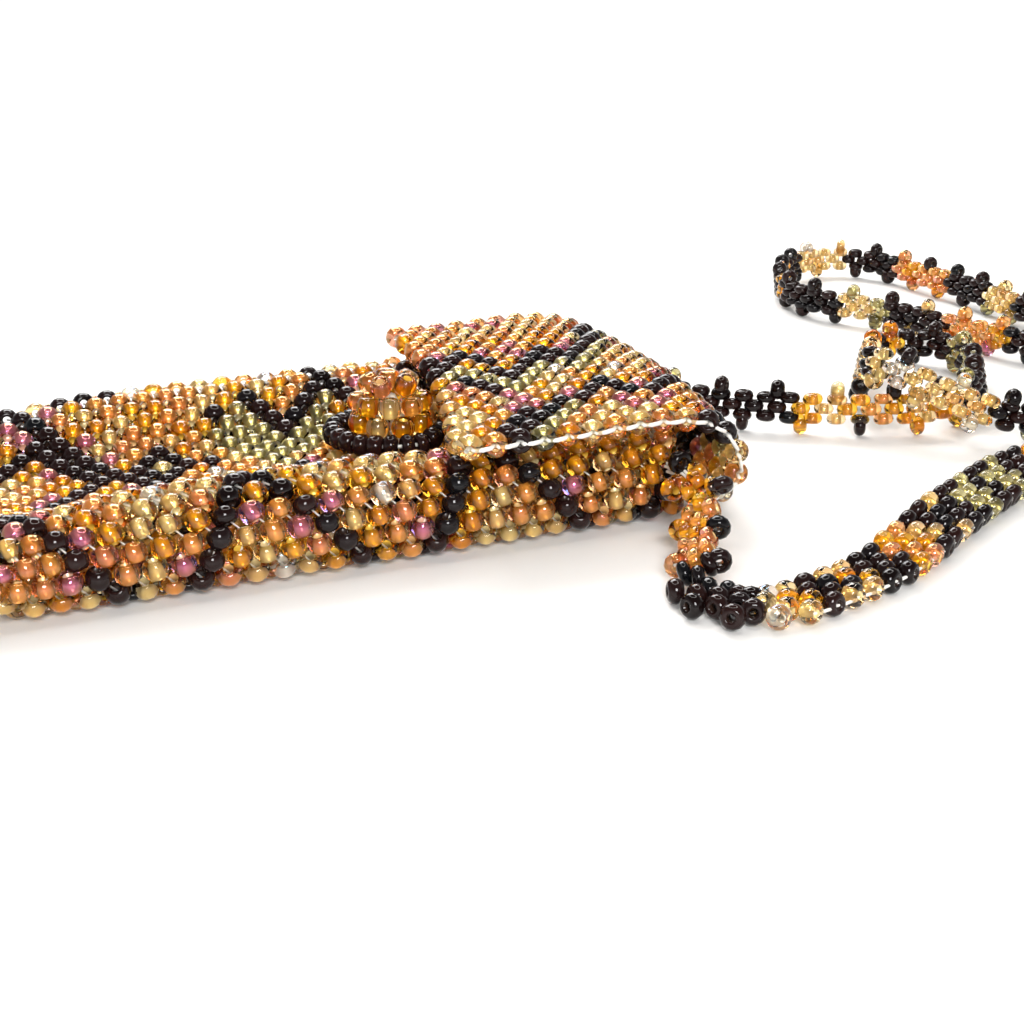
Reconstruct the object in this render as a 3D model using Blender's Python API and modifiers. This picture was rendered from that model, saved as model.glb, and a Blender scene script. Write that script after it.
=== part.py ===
"""Beaded medicine bag: a tubular pouch of seed beads lying on its back, with a flap folded
over its mouth, a beaded button, a closing loop of black beads and a narrow beaded strap.

Metres, +Z up. X runs along the pouch from its stitched bottom end to the mouth, Y runs
across it from the near side wall to the far one, and the bag rests on Z = 0.
"""
import math

import bmesh
import bpy
from mathutils import Vector

# Seed beads and thread
BEAD_DIAMETER = 0.0021
BEAD_LENGTH = 0.00125
BEAD_HOLE = 0.0009
BEAD_END_SHARE = 0.72
THREAD_DIAMETER = 0.00035
CLEARANCE = 0.0003

# Beadwork: beads stand a row pitch apart in a column, and columns a column pitch apart
ROW_PITCH = 0.00225
COLUMN_PITCH = 0.00163
CROWN_HEIGHT = 0.00105
GAP_HEIGHT = 0.00050

# Pouch, sizes at the middle of the bead layer
POUCH_LENGTH = 0.0574
POUCH_WIDTH = 0.0360
NEAR_RIDGE = 0.0079
COVERED_RIDGE = 0.0075
FAR_RIDGE = 0.0078
BOTTOM_RIDGE_DROP = 0.0012
SAG_HEIGHT = 0.0037
MOUTH_SAG_HEIGHT = 0.0052
CORNER_ROUND = 0.0014
WALL_BULGE = 0.0010
END_DEPTH = 0.0022
SEAM_HEIGHT = 0.0036
SEAM_SQUEEZE = 0.34
LINING_DEPTH = 0.00075
REST_PAD_LENGTH = 0.0140
REST_PAD_WIDTH = 0.0110

# Flap: where it starts, how far its fold reaches and how high it lies
FLAP_RIM_GAP = 0.0013
FOLD_REACH_NEAR = 0.0060
FOLD_REACH_FAR = 0.0112
FLAP_HEIGHT_NEAR = 0.0098
FLAP_HEIGHT_FAR = 0.0104
FLAP_COVER_NEAR = 0.0216
FLAP_COVER_FAR = 0.0113
FLAP_OVERHANG = 0.0018
FLAP_CROWN = 0.0004
FLAP_EDGE_BOW = 0.0015
FOLD_DEPTH = 0.0105
FOLD_LIFT = 0.0002

# Button and closing loop
BUTTON_FROM_MOUTH = 0.0194
BUTTON_BEAD_DIAMETER = 0.0020
BUTTON_BEAD_LENGTH = 0.00145
BUTTON_RING_BEADS = 8
BUTTON_TOP_BEADS = 3
SHANK_DIAMETER = 0.0016
SHANK_HEIGHT = 0.0018
LOOP_MEAN_RADIUS = 0.0053
LOOP_OPENING = math.radians(84)
LOOP_END_LIFT = 0.0008
SEAM_STITCH_HEIGHT = 0.0008

# Zigzag: the period in rows and the number of columns that a black line climbs
ZIGZAG_ROWS = 10
ZIGZAG_COLUMNS = 10
LINE_SPACING_COLUMNS = 17

# Neck strap
STRAP_WIDTH = 0.0048
STRAP_POINTS = 78
STRAP_EXIT_FROM_MOUTH = 0.0012
STRAP_EXIT_HEIGHT = 0.0054
STRAP_START_GAP = 0.0022
STRAP_TABLE_GAP = 0.0001
STITCH_DIAMETER = 0.0012

BEAD_SEGMENTS = 8
TAU = 2.0 * math.pi
BEAD_RADIUS = BEAD_DIAMETER / 2.0
THREAD_RADIUS = THREAD_DIAMETER / 2.0
NEAR_FACE = -WALL_BULGE - CROWN_HEIGHT
FAR_FACE = POUCH_WIDTH + WALL_BULGE + CROWN_HEIGHT
BOTTOM_FACE = -END_DEPTH - CLEARANCE - THREAD_DIAMETER
ORIGIN_X = (POUCH_LENGTH + FOLD_REACH_FAR + CROWN_HEIGHT + BOTTOM_FACE) / 2.0
ORIGIN_Y = POUCH_WIDTH / 2.0

COLOURS = {
    "amber_beads": ((0.72, 0.40, 0.10, 1.0), 0.18),
    "black_beads": ((0.015, 0.012, 0.014, 1.0), 0.12),
    "champagne_beads": ((0.86, 0.72, 0.46, 1.0), 0.2),
    "thread": ((0.86, 0.83, 0.76, 1.0), 0.6),
}


def clear_scene():
    for thing in list(bpy.data.objects):
        bpy.data.objects.remove(thing, do_unlink=True)


def make_collection(name):
    collection = bpy.data.collections.new(name)
    bpy.context.scene.collection.children.link(collection)
    return collection


def make_material(name, owner):
    """A Principled material of one bead or thread colour, for the sub-part that owns it."""
    colour, roughness = COLOURS[name]
    material = bpy.data.materials.new(owner + "_" + name)
    material.use_nodes = True
    shader = material.node_tree.nodes["Principled BSDF"]
    shader.inputs["Base Color"].default_value = colour
    shader.inputs["Roughness"].default_value = roughness
    shader.inputs["Metallic"].default_value = 0.0
    material.diffuse_color = colour
    return material


def place(point):
    """From the pouch's own corner, at its bottom end and near side, to the part's origin."""
    return Vector((point[0] - ORIGIN_X, point[1] - ORIGIN_Y, point[2]))


def smooth_curve(points, t, closed=False):
    """A Catmull-Rom curve through the points, at t from 0 to 1."""
    count = len(points)
    spans = count if closed else count - 1
    place_on = min(max(t, 0.0), 1.0) * spans
    span = min(int(place_on), spans - 1)
    f = place_on - span

    def at(i):
        if closed:
            return points[i % count]
        if i < 0:
            return points[0] * 2.0 - points[1]
        if i >= count:
            return points[-1] * 2.0 - points[-2]
        return points[i]

    p0, p1, p2, p3 = at(span - 1), at(span), at(span + 1), at(span + 2)
    return 0.5 * (
        p1 * 2.0
        + (p2 - p0) * f
        + (p0 * 2.0 - p1 * 5.0 + p2 * 4.0 - p3) * f * f
        + (p1 * 3.0 - p0 - p2 * 3.0 + p3) * f * f * f
    )


def even_points(points, count, closed=False, samples=600):
    """Points at equal distances along the smooth curve; a closed one doesn't repeat its start."""
    fine = [smooth_curve(points, k / samples, closed) for k in range(samples + 1)]
    run = [0.0]
    for a, b in zip(fine, fine[1:]):
        run.append(run[-1] + (b - a).length)
    steps = count if closed else count - 1
    result = []
    j = 0
    for k in range(count):
        wanted = run[-1] * k / steps
        while j < samples - 1 and run[j + 1] < wanted:
            j += 1
        part = (wanted - run[j]) / max(run[j + 1] - run[j], 1e-12)
        result.append(fine[j].lerp(fine[j + 1], part))
    return result


def blend(a, b, t):
    """A smooth change from a to b while t goes from 0 to 1."""
    t = min(max(t, 0.0), 1.0)
    t = t * t * (3.0 - 2.0 * t)
    return a + (b - a) * t


def section_controls(s):
    """The pouch's section at s, from the near bottom corner up the wall, over and back."""
    mouth_share = s / POUCH_LENGTH
    start = blend(NEAR_RIDGE - BOTTOM_RIDGE_DROP, NEAR_RIDGE, mouth_share / 0.25)
    near = blend(start, COVERED_RIDGE, (mouth_share - 0.5) / 0.2)
    far = blend(FAR_RIDGE - BOTTOM_RIDGE_DROP, FAR_RIDGE, mouth_share / 0.3)
    sag = blend(SAG_HEIGHT, MOUTH_SAG_HEIGHT, (mouth_share - 0.78) / 0.22)
    width = POUCH_WIDTH
    rest = CROWN_HEIGHT
    corner = CORNER_ROUND
    basin = width / 2.0
    points = [
        (0.7 * corner, rest),
        (-0.5 * WALL_BULGE, rest + 0.6 * corner),
        (-WALL_BULGE, 0.5 * near),
        (-0.1 * corner, near - corner),
        (1.4 * corner, near),
        (0.15 * width, sag + 0.78 * (near - sag)),
        (0.26 * width, sag + 0.28 * (near - sag)),
        (basin - 0.12 * width, sag + 0.04 * (near - sag)),
        (basin, sag),
        (basin + 0.12 * width, sag + 0.04 * (far - sag)),
        (0.74 * width, sag + 0.28 * (far - sag)),
        (0.85 * width, sag + 0.78 * (far - sag)),
        (width - 1.4 * corner, far),
        (width + 0.1 * corner, far - corner),
        (width + WALL_BULGE, 0.5 * far),
        (width + 0.5 * WALL_BULGE, rest + 0.6 * corner),
        (width - 0.7 * corner, rest),
        (0.75 * width, rest),
        (0.50 * width, rest),
        (0.25 * width, rest),
    ]
    return [Vector((y, z)) for y, z in points]


def section_ring(s, count):
    """Even points and outward normals of the layer's middle, squeezed to a seam past the end."""
    inside = max(s, 0.0)
    ring = even_points(section_controls(inside), count, closed=True)
    squeeze = blend(1.0, SEAM_SQUEEZE, -s / END_DEPTH)
    ring = [Vector((p.x, SEAM_HEIGHT + (p.y - SEAM_HEIGHT) * squeeze)) for p in ring]
    normals = []
    for k in range(count):
        along = ring[(k + 1) % count] - ring[k - 1]
        normals.append(Vector((-along.y, along.x)).normalized())
    return ring, normals


def column_count():
    ring = even_points(section_controls(POUCH_LENGTH / 2.0), 200, closed=True)
    around = sum((ring[k] - ring[k - 1]).length for k in range(200))
    return 2 * round(around / COLUMN_PITCH / 2.0)


def on_black_line(column, half_row):
    """True where a bead belongs to one of the black zigzag lines that run round the pouch."""
    half_period = ZIGZAG_ROWS
    phase = abs((half_row + half_period // 2) % (2 * half_period) - half_period)
    climb = phase * ZIGZAG_COLUMNS / half_period
    return round(column - climb) % LINE_SPACING_COLUMNS == 0


def relief_triangles(corners, column, row):
    """Two triangles of a lattice cell, split so that each bead rises to its own crown."""
    a, b, c, d = corners
    if (column + row) % 2 == 0:
        return [(a, b, d), (b, c, d)]
    return [(a, b, c), (a, c, d)]


def finish_mesh(bm, name, collection, materials):
    bmesh.ops.recalc_face_normals(bm, faces=bm.faces)
    mesh = bpy.data.meshes.new(name)
    bm.to_mesh(mesh)
    bm.free()
    for material in materials:
        mesh.materials.append(material)
    thing = bpy.data.objects.new(name, mesh)
    collection.objects.link(thing)
    return thing


def shade_round(thing, angle=50.0):
    thing.data.shade_smooth()
    thing.data.set_sharp_from_angle(angle=math.radians(angle))


def loft_tube(bm, rings, relief):
    """Walls between closed rings of vertices, with a flat cap on the first and the last."""
    for row, (lower, upper) in enumerate(zip(rings, rings[1:])):
        count = len(lower)
        for column in range(count):
            after = (column + 1) % count
            corners = (lower[column], lower[after], upper[after], upper[column])
            if relief:
                for triangle in relief_triangles(corners, column, row):
                    face = bm.faces.new(triangle)
                    crown = column if (column + row) % 2 == 0 else column + 1
                    face.material_index = int(on_black_line(crown, row))
            else:
                bm.faces.new(corners)
    bm.faces.new(rings[0])
    bm.faces.new(rings[-1])


def bead_height(column, half_row, s, y, z):
    """How far the skin stands off the layer's middle: high on a bead, low between beads."""
    pad_x = abs(s - POUCH_LENGTH / 2.0) < REST_PAD_LENGTH / 2.0
    pad_y = abs(y - POUCH_WIDTH / 2.0) < REST_PAD_WIDTH / 2.0
    if pad_x and pad_y and z < 2.0 * CROWN_HEIGHT:
        return CROWN_HEIGHT
    return CROWN_HEIGHT if (column + half_row) % 2 == 0 else GAP_HEIGHT


def build_pouch(parts, cutters):
    columns = column_count()
    half_rows = 2 * round(POUCH_LENGTH / ROW_PITCH) - 1
    step = POUCH_LENGTH / half_rows
    end_rows = math.ceil(END_DEPTH / step)
    bm = bmesh.new()
    rings = []
    for row in range(-end_rows, half_rows + 1):
        s = row * step if row >= 0 else row * END_DEPTH / end_rows
        ring, normals = section_ring(s, columns)
        loop = []
        for column in range(columns):
            p = ring[column]
            rise = bead_height(column, row + end_rows, s, p.x, p.y)
            spot = p + normals[column] * rise
            loop.append(bm.verts.new(place((s, spot.x, max(spot.y, 0.0)))))
        rings.append(loop)
    loft_tube(bm, rings, relief=True)
    materials = [make_material("amber_beads", "pouch"), make_material("black_beads", "pouch")]
    pouch = finish_mesh(bm, "pouch", parts, materials)

    hollow = bmesh.new()
    rings = []
    stations = 10
    first = 0.25 * BEAD_DIAMETER
    last = POUCH_LENGTH + BEAD_DIAMETER
    for k in range(stations + 1):
        s = first + (last - first) * k / stations
        ring, normals = section_ring(min(s, POUCH_LENGTH), columns // 2)
        spots = [p - n * LINING_DEPTH for p, n in zip(ring, normals)]
        rings.append([hollow.verts.new(place((s, spot.x, spot.y))) for spot in spots])
    loft_tube(hollow, rings, relief=False)
    cutter = finish_mesh(hollow, "pouch_hollow", cutters, [])
    cutter.hide_render = True
    cutter.display_type = "WIRE"
    cut = pouch.modifiers.new("hollow", "BOOLEAN")
    cut.operation = "DIFFERENCE"
    cut.solver = "EXACT"
    cut.object = cutter
    return pouch


def flap_profiles():
    """The flap's line from the mouth's back, round the fold and over the front, three times:
    along the near selvedge, down the middle and along the far selvedge."""
    rim = POUCH_LENGTH + FLAP_RIM_GAP
    low = CROWN_HEIGHT + THREAD_RADIUS
    near_y = COLUMN_PITCH
    far_y = POUCH_WIDTH - COLUMN_PITCH
    mid_reach = 0.25 * FOLD_REACH_NEAR + 0.75 * FOLD_REACH_FAR
    mid_height = (FLAP_HEIGHT_NEAR + FLAP_HEIGHT_FAR) / 2.0 + FLAP_CROWN
    mid_cover = (FLAP_COVER_NEAR + FLAP_COVER_FAR) / 2.0 - FLAP_EDGE_BOW

    def profile(y_rim, y_top, reach, height, cover):
        nose = POUCH_LENGTH + reach
        return [
            Vector((rim, y_rim, low)),
            Vector((nose - 0.35 * (nose - rim), 0.6 * y_rim + 0.4 * y_top, low + FOLD_LIFT)),
            Vector((nose, 0.2 * y_rim + 0.8 * y_top, 0.36 * height)),
            Vector((nose - 0.04 * FOLD_DEPTH, y_top, 0.62 * height)),
            Vector((nose - 0.20 * FOLD_DEPTH, y_top, 0.86 * height)),
            Vector((nose - 0.50 * FOLD_DEPTH, y_top, 0.99 * height)),
            Vector((nose - FOLD_DEPTH, y_top, 1.02 * height)),
            Vector((POUCH_LENGTH - 0.5 * cover, y_top, height)),
            Vector((POUCH_LENGTH - cover, y_top, height)),
        ]

    mid_y = POUCH_WIDTH / 2.0
    return (
        profile(near_y, -FLAP_OVERHANG, FOLD_REACH_NEAR, FLAP_HEIGHT_NEAR, FLAP_COVER_NEAR),
        profile(mid_y, mid_y - FLAP_OVERHANG / 2.0, mid_reach, mid_height, mid_cover),
        profile(far_y, POUCH_WIDTH, FOLD_REACH_FAR, FLAP_HEIGHT_FAR, FLAP_COVER_FAR),
    )


def flap_sheet(columns, half_rows):
    """Middle of the flap's bead layer as a lattice of points, from selvedge to selvedge."""
    near, mid, far = (even_points(p, half_rows + 1) for p in flap_profiles())
    sheet = []
    for k in range(half_rows + 1):
        line = []
        for i in range(columns):
            v = i / (columns - 1)
            line.append(
                near[k] * ((1.0 - v) * (1.0 - 2.0 * v))
                + mid[k] * (4.0 * v * (1.0 - v))
                + far[k] * (v * (2.0 * v - 1.0))
            )
        sheet.append(line)
    return sheet


def sheet_normal(sheet, k, i):
    before = sheet[max(k - 1, 0)][i]
    after = sheet[min(k + 1, len(sheet) - 1)][i]
    left = sheet[k][max(i - 1, 0)]
    right = sheet[k][min(i + 1, len(sheet[0]) - 1)]
    return (right - left).cross(after - before).normalized()


def flap_layout():
    """The numbers of bead columns and half rows that fill the flap."""
    near = even_points(flap_profiles()[0], 100)
    length = sum((b - a).length for a, b in zip(near, near[1:]))
    columns = 2 * round(POUCH_WIDTH / COLUMN_PITCH / 2.0)
    half_rows = 2 * round(length / ROW_PITCH) - 1
    return columns, half_rows


def build_flap(parts):
    columns, half_rows = flap_layout()
    sheet = flap_sheet(columns, half_rows)
    bm = bmesh.new()
    skins = []
    for side in (1.0, -1.0):
        skin = []
        for k in range(half_rows + 1):
            line = []
            for i in range(columns):
                crown = (i + k) % 2 == 0
                rise = CROWN_HEIGHT if crown else GAP_HEIGHT
                spot = sheet[k][i] + sheet_normal(sheet, k, i) * (side * rise)
                line.append(bm.verts.new(place(spot)))
            skin.append(line)
        skins.append(skin)
    for skin in skins:
        for k in range(half_rows):
            for i in range(columns - 1):
                corners = (skin[k][i], skin[k][i + 1], skin[k + 1][i + 1], skin[k + 1][i])
                for triangle in relief_triangles(corners, i, k):
                    face = bm.faces.new(triangle)
                    crown = i if (i + k) % 2 == 0 else i + 1
                    face.material_index = int(on_black_line(crown, k))
    top, under = skins
    edge = [(0, i) for i in range(columns)]
    edge += [(k, columns - 1) for k in range(1, half_rows + 1)]
    edge += [(half_rows, i) for i in range(columns - 2, -1, -1)]
    edge += [(k, 0) for k in range(half_rows - 1, 0, -1)]
    for (k, i), (m, j) in zip(edge, edge[1:] + edge[:1]):
        bm.faces.new((top[k][i], top[m][j], under[m][j], under[k][i]))
    materials = [make_material("champagne_beads", "flap"), make_material("black_beads", "flap")]
    return finish_mesh(bm, "flap", parts, materials)


def turned_mesh(name, profile, segments, collection):
    """A closed profile of (radius, height) pairs turned round its own Z axis."""
    mesh = bpy.data.meshes.new(name)
    count = len(profile)
    edges = [(k, (k + 1) % count) for k in range(count)]
    if profile[0][0] == 0.0 and profile[-1][0] == 0.0:
        edges = edges[:-1]
    mesh.from_pydata([(r, 0.0, z) for r, z in profile], edges, [])
    thing = bpy.data.objects.new(name, mesh)
    collection.objects.link(thing)
    turn = thing.modifiers.new("turn", "SCREW")
    turn.steps = segments
    turn.render_steps = segments
    turn.use_merge_vertices = True
    turn.merge_threshold = 0.00001
    return thing


def bead_profile(diameter, length):
    """Half section of a seed bead, down its outer side and up through its hole."""
    r, half, bore = diameter / 2.0, length / 2.0, BEAD_HOLE / 2.0
    end = BEAD_END_SHARE * r
    return [(end, half), (r, 0.0), (end, -half), (bore, -half), (bore, half)]


def add_bead(name, material, point, axis, diameter, length, parts):
    bead = turned_mesh(name, bead_profile(diameter, length), BEAD_SEGMENTS, parts)
    bead.data.materials.append(material)
    bead.location = place(point)
    bead.rotation_mode = "QUATERNION"
    bead.rotation_quaternion = Vector((0.0, 0.0, 1.0)).rotation_difference(axis)
    return bead


def thread_tube(name, points, radius, parts, resolution=1):
    """A thread as a bevelled curve with filled ends."""
    data = bpy.data.curves.new(name, "CURVE")
    data.dimensions = "3D"
    spline = data.splines.new("POLY")
    spline.points.add(len(points) - 1)
    for knot, point in zip(spline.points, points):
        knot.co = (*place(point), 1.0)
    data.bevel_depth = radius
    data.bevel_resolution = resolution
    data.use_fill_caps = True
    thing = bpy.data.objects.new(name, data)
    parts.objects.link(thing)
    data.materials.append(make_material("thread", name))
    return thing


def button_axis():
    return POUCH_LENGTH - BUTTON_FROM_MOUTH, POUCH_WIDTH / 2.0


def button_floor():
    """Top of the bead crowns on the sagging front panel, under the button."""
    return SAG_HEIGHT + CROWN_HEIGHT


def ring_radius(count, diameter):
    """The radius at which so many beads stand side by side with a clearance between them."""
    return (diameter + CLEARANCE) / (2.0 * math.sin(math.pi / count))


def build_button(parts):
    s, y = button_axis()
    floor = button_floor()
    pitch = BUTTON_BEAD_LENGTH + CLEARANCE
    wide = ring_radius(BUTTON_RING_BEADS, BUTTON_BEAD_DIAMETER)
    narrow = ring_radius(BUTTON_TOP_BEADS, BUTTON_BEAD_DIAMETER)
    under = floor + SHANK_HEIGHT
    core_top = under + 2.0 * pitch - CLEARANCE
    core_radius = wide - BUTTON_BEAD_DIAMETER / 2.0 - CLEARANCE
    core = turned_mesh("button_thread_core", [
        (0.0, core_top),
        (core_radius, core_top),
        (core_radius, under),
        (SHANK_DIAMETER / 2.0, under),
        (SHANK_DIAMETER / 2.0, floor + CLEARANCE),
        (0.0, floor + CLEARANCE),
    ], 12, parts)
    core.data.materials.append(make_material("thread", "button_thread_core"))
    core.location = place((s, y, 0.0))
    amber = make_material("amber_beads", "button")
    up = Vector((0.0, 0.0, 1.0))
    tiers = ((BUTTON_RING_BEADS, wide, 0.0), (BUTTON_RING_BEADS, wide, 0.5),
             (BUTTON_TOP_BEADS, narrow, 0.2))
    number = 0
    for tier, (count, radius, shift) in enumerate(tiers):
        z = under + pitch * tier + BUTTON_BEAD_LENGTH / 2.0
        for k in range(count):
            angle = TAU * (k + shift) / count
            spot = (s + radius * math.cos(angle), y + radius * math.sin(angle), z)
            number += 1
            name = "button_bead_%02d" % number
            add_bead(name, amber, spot, up, BUTTON_BEAD_DIAMETER, BUTTON_BEAD_LENGTH, parts)


def loop_route():
    """The closing loop's thread: from the flap, round the button's foot and back."""
    s, y = button_axis()
    lie = button_floor() + BEAD_RADIUS + CLEARANCE
    flap_under = FLAP_HEIGHT_NEAR - CROWN_HEIGHT - 0.5 * CLEARANCE
    half = LOOP_OPENING / 2.0
    ring = []
    turns = 16
    for k in range(turns + 1):
        angle = -half - (TAU - LOOP_OPENING) * k / turns
        away = abs(2.0 * k / turns - 1.0)
        lift = blend(0.0, LOOP_END_LIFT, (away - 0.7) / 0.3)
        spot = (s + LOOP_MEAN_RADIUS * math.cos(angle), y + LOOP_MEAN_RADIUS * math.sin(angle))
        ring.append(Vector((spot[0], spot[1], lie + lift)))
    reach = s + LOOP_MEAN_RADIUS
    tie = 0.35 * LOOP_MEAN_RADIUS
    start = Vector((reach + CLEARANCE, y - tie, flap_under))
    end = Vector((reach + CLEARANCE, y + tie, flap_under))
    return [start] + ring + [end]


def build_loop(parts):
    route = loop_route()
    fine = even_points(route, 200)
    length = sum((b - a).length for a, b in zip(fine, fine[1:]))
    thread_tube("loop_thread", even_points(route, 48), THREAD_RADIUS, parts)
    black = make_material("black_beads", "loop")
    pitch = BEAD_LENGTH + CLEARANCE
    lead = BEAD_RADIUS + CLEARANCE
    count = int((length - 2.0 * lead) / pitch)
    first = (length - pitch * (count - 1)) / 2.0
    for k in range(count):
        where = (first + pitch * k) / length
        index = where * 199
        low = min(int(index), 198)
        spot = fine[low].lerp(fine[low + 1], index - low)
        axis = (fine[min(low + 2, 199)] - fine[max(low - 1, 0)]).normalized()
        name = "loop_bead_%02d" % (k + 1)
        add_bead(name, black, spot, axis, BEAD_DIAMETER, BEAD_LENGTH, parts)


def build_selvedge_thread(parts):
    """The thread that turns from row to row along the flap's near edge."""
    columns, half_rows = flap_layout()
    sheet = flap_sheet(columns, half_rows)
    aside = Vector((0.0, -(CLEARANCE + THREAD_RADIUS), 0.0))
    points = [sheet[k][0] + aside for k in range(half_rows // 3, half_rows, 1)]
    thread_tube("flap_selvedge_thread", points, THREAD_RADIUS, parts)


def build_bottom_stitch(parts):
    """The thread that draws the bottom end shut, in a zigzag across the seam."""
    away = -END_DEPTH - CLEARANCE - THREAD_RADIUS
    stitches = 2 * round(POUCH_WIDTH / COLUMN_PITCH / 2.0)
    margin = 2.0 * CORNER_ROUND
    points = []
    for k in range(stitches + 1):
        y = margin + (POUCH_WIDTH - 2.0 * margin) * k / stitches
        z = SEAM_HEIGHT + SEAM_STITCH_HEIGHT * (0.5 if k % 2 == 0 else -0.5)
        points.append(Vector((away, y, z)))
    thread_tube("bottom_seam_thread", points, THREAD_RADIUS, parts)


def strap_exit(side):
    """Where the strap meets its stitch: side -1 at the near wall, +1 at the far wall."""
    s = POUCH_LENGTH - STRAP_EXIT_FROM_MOUTH
    if side < 0:
        return Vector((s, NEAR_FACE - STRAP_START_GAP, STRAP_EXIT_HEIGHT))
    return Vector((s, FAR_FACE + STRAP_START_GAP, STRAP_EXIT_HEIGHT))


def build_strap_stitches(parts):
    """A short lashing of thread that joins each end of the strap to the mouth's side."""
    for name, side in (("strap_stitch_near", -1), ("strap_stitch_far", 1)):
        wall = NEAR_FACE if side < 0 else FAR_FACE
        end = strap_exit(side)
        inner = Vector((end.x, wall + side * CLEARANCE, end.z))
        outer = Vector((end.x, end.y - side * CLEARANCE, end.z))
        thread_tube(name, [inner, outer], STITCH_DIAMETER / 2.0, parts, 2)


def strap_route():
    """The strap's middle line on the table, by hand: (along the pouch, across it, height)."""
    lie = STRAP_WIDTH / 2.0 + STRAP_TABLE_GAP
    over = lie + STRAP_WIDTH + CLEARANCE
    chosen = (
        (0.0556, -0.0080, 0.0040), (0.0541, -0.0102, 0.0029), (0.0521, -0.0132, lie),
        (0.0498, -0.0170, lie), (0.0485, -0.0206, lie), (0.0497, -0.0236, lie),
        (0.0536, -0.0245, lie), (0.0633, -0.0217, lie), (0.0698, -0.0185, lie),
        (0.0770, -0.0143, lie), (0.0856, -0.0094, lie), (0.0927, -0.0059, lie),
        (0.0995, -0.0046, lie), (0.1070, -0.0064, lie), (0.1160, -0.0110, lie),
        (0.1260, -0.0180, lie), (0.1380, -0.0270, lie), (0.1530, -0.0310, lie),
        (0.1675, -0.0260, lie), (0.1770, -0.0130, lie), (0.1790, 0.0025, lie),
        (0.1740, 0.0160, lie), (0.1640, 0.0255, lie), (0.1525, 0.0300, lie),
        (0.1438, 0.0345, lie), (0.1396, 0.0405, lie), (0.1384, 0.0465, lie),
        (0.1395, 0.0530, lie), (0.1409, 0.0620, lie), (0.1412, 0.0706, lie),
        (0.1413, 0.0800, lie), (0.1385, 0.0865, lie), (0.1330, 0.0875, lie),
        (0.1265, 0.0830, lie), (0.1205, 0.0760, lie), (0.1173, 0.0685, lie),
        (0.1177, 0.0622, lie), (0.1202, 0.0565, lie), (0.1218, 0.0495, lie),
        (0.1234, 0.0410, lie), (0.1252, 0.0314, lie), (0.1260, 0.0280, lie),
        (0.1305, 0.0218, lie), (0.1400, 0.0180, lie), (0.1520, 0.0160, lie),
        (0.1620, 0.0100, lie), (0.1655, -0.0010, lie), (0.1600, -0.0120, lie),
        (0.1480, -0.0155, lie), (0.1355, -0.0110, lie), (0.1240, -0.0035, lie),
        (0.1148, 0.0018, lie), (0.1082, 0.0033, lie), (0.1033, 0.0063, 0.0036),
        (0.0998, 0.0092, 0.0062), (0.0976, 0.0130, over), (0.0979, 0.0178, 0.0060),
        (0.0998, 0.0230, 0.0031), (0.1030, 0.0287, lie), (0.1072, 0.0340, lie),
        (0.1116, 0.0364, lie), (0.1144, 0.0336, lie), (0.1132, 0.0278, lie),
        (0.1093, 0.0220, lie), (0.1048, 0.0169, lie), (0.1003, 0.0137, lie),
        (0.0955, 0.0126, lie), (0.0908, 0.0140, lie), (0.0864, 0.0164, lie),
        (0.0814, 0.0201, lie), (0.0775, 0.0237, lie), (0.0743, 0.0295, lie),
        (0.0708, 0.0375, lie), (0.0668, 0.0440, lie), (0.0622, 0.0470, 0.0031),
        (0.0581, 0.0460, 0.0044),
    )
    middle = [Vector(point) for point in chosen]
    near, far = strap_exit(-1), strap_exit(1)
    lead = Vector((0.0, STRAP_WIDTH / 2.0, 0.0))
    return [near, near - lead] + middle + [far + lead, far]


def build_strap(parts):
    route = strap_route()
    points = even_points(route, STRAP_POINTS, samples=4000)
    strap = thread_tube("neck_strap", points, STRAP_WIDTH / 2.0, parts, 2)
    strap.data.materials.clear()
    strap.data.materials.append(make_material("amber_beads", "neck_strap"))


def main():
    clear_scene()
    parts = make_collection("beaded_medicine_bag")
    cutters = make_collection("cutters")
    build_pouch(parts, cutters)
    build_flap(parts)
    build_button(parts)
    build_loop(parts)
    build_selvedge_thread(parts)
    build_bottom_stitch(parts)
    build_strap_stitches(parts)
    build_strap(parts)


main()
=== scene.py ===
"""Beaded medicine bag: seed-bead pouch, folded flap, beaded button, closing loop and neck strap.

Every bead is its own little glass ring on white beading thread. The bag is worked in peyote
stitch: bead columns run along the bag, each half a bead out of step with its neighbours.
"""
import logging
import math
from collections.abc import Iterable, Sequence
from dataclasses import dataclass, field
from enum import Enum
from functools import cache

import bpy
import numpy as np
from mathutils import Matrix, Vector


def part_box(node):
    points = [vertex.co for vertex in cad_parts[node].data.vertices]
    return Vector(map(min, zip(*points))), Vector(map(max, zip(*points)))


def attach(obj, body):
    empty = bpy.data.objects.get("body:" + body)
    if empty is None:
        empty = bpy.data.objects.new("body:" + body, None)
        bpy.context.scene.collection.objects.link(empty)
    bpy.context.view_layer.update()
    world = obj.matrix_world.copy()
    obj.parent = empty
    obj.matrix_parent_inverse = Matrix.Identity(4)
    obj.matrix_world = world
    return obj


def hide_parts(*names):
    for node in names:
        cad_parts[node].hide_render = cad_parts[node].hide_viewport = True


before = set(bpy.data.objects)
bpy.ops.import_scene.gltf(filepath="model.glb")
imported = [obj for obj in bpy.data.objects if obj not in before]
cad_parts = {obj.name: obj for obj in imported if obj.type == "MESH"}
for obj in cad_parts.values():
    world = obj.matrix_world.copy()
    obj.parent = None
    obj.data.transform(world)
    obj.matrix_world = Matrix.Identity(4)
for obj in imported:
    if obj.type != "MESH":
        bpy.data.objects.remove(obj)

log = logging.getLogger("medicine_bag")
logging.basicConfig(level=logging.INFO, format="%(levelname)s %(message)s")

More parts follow.
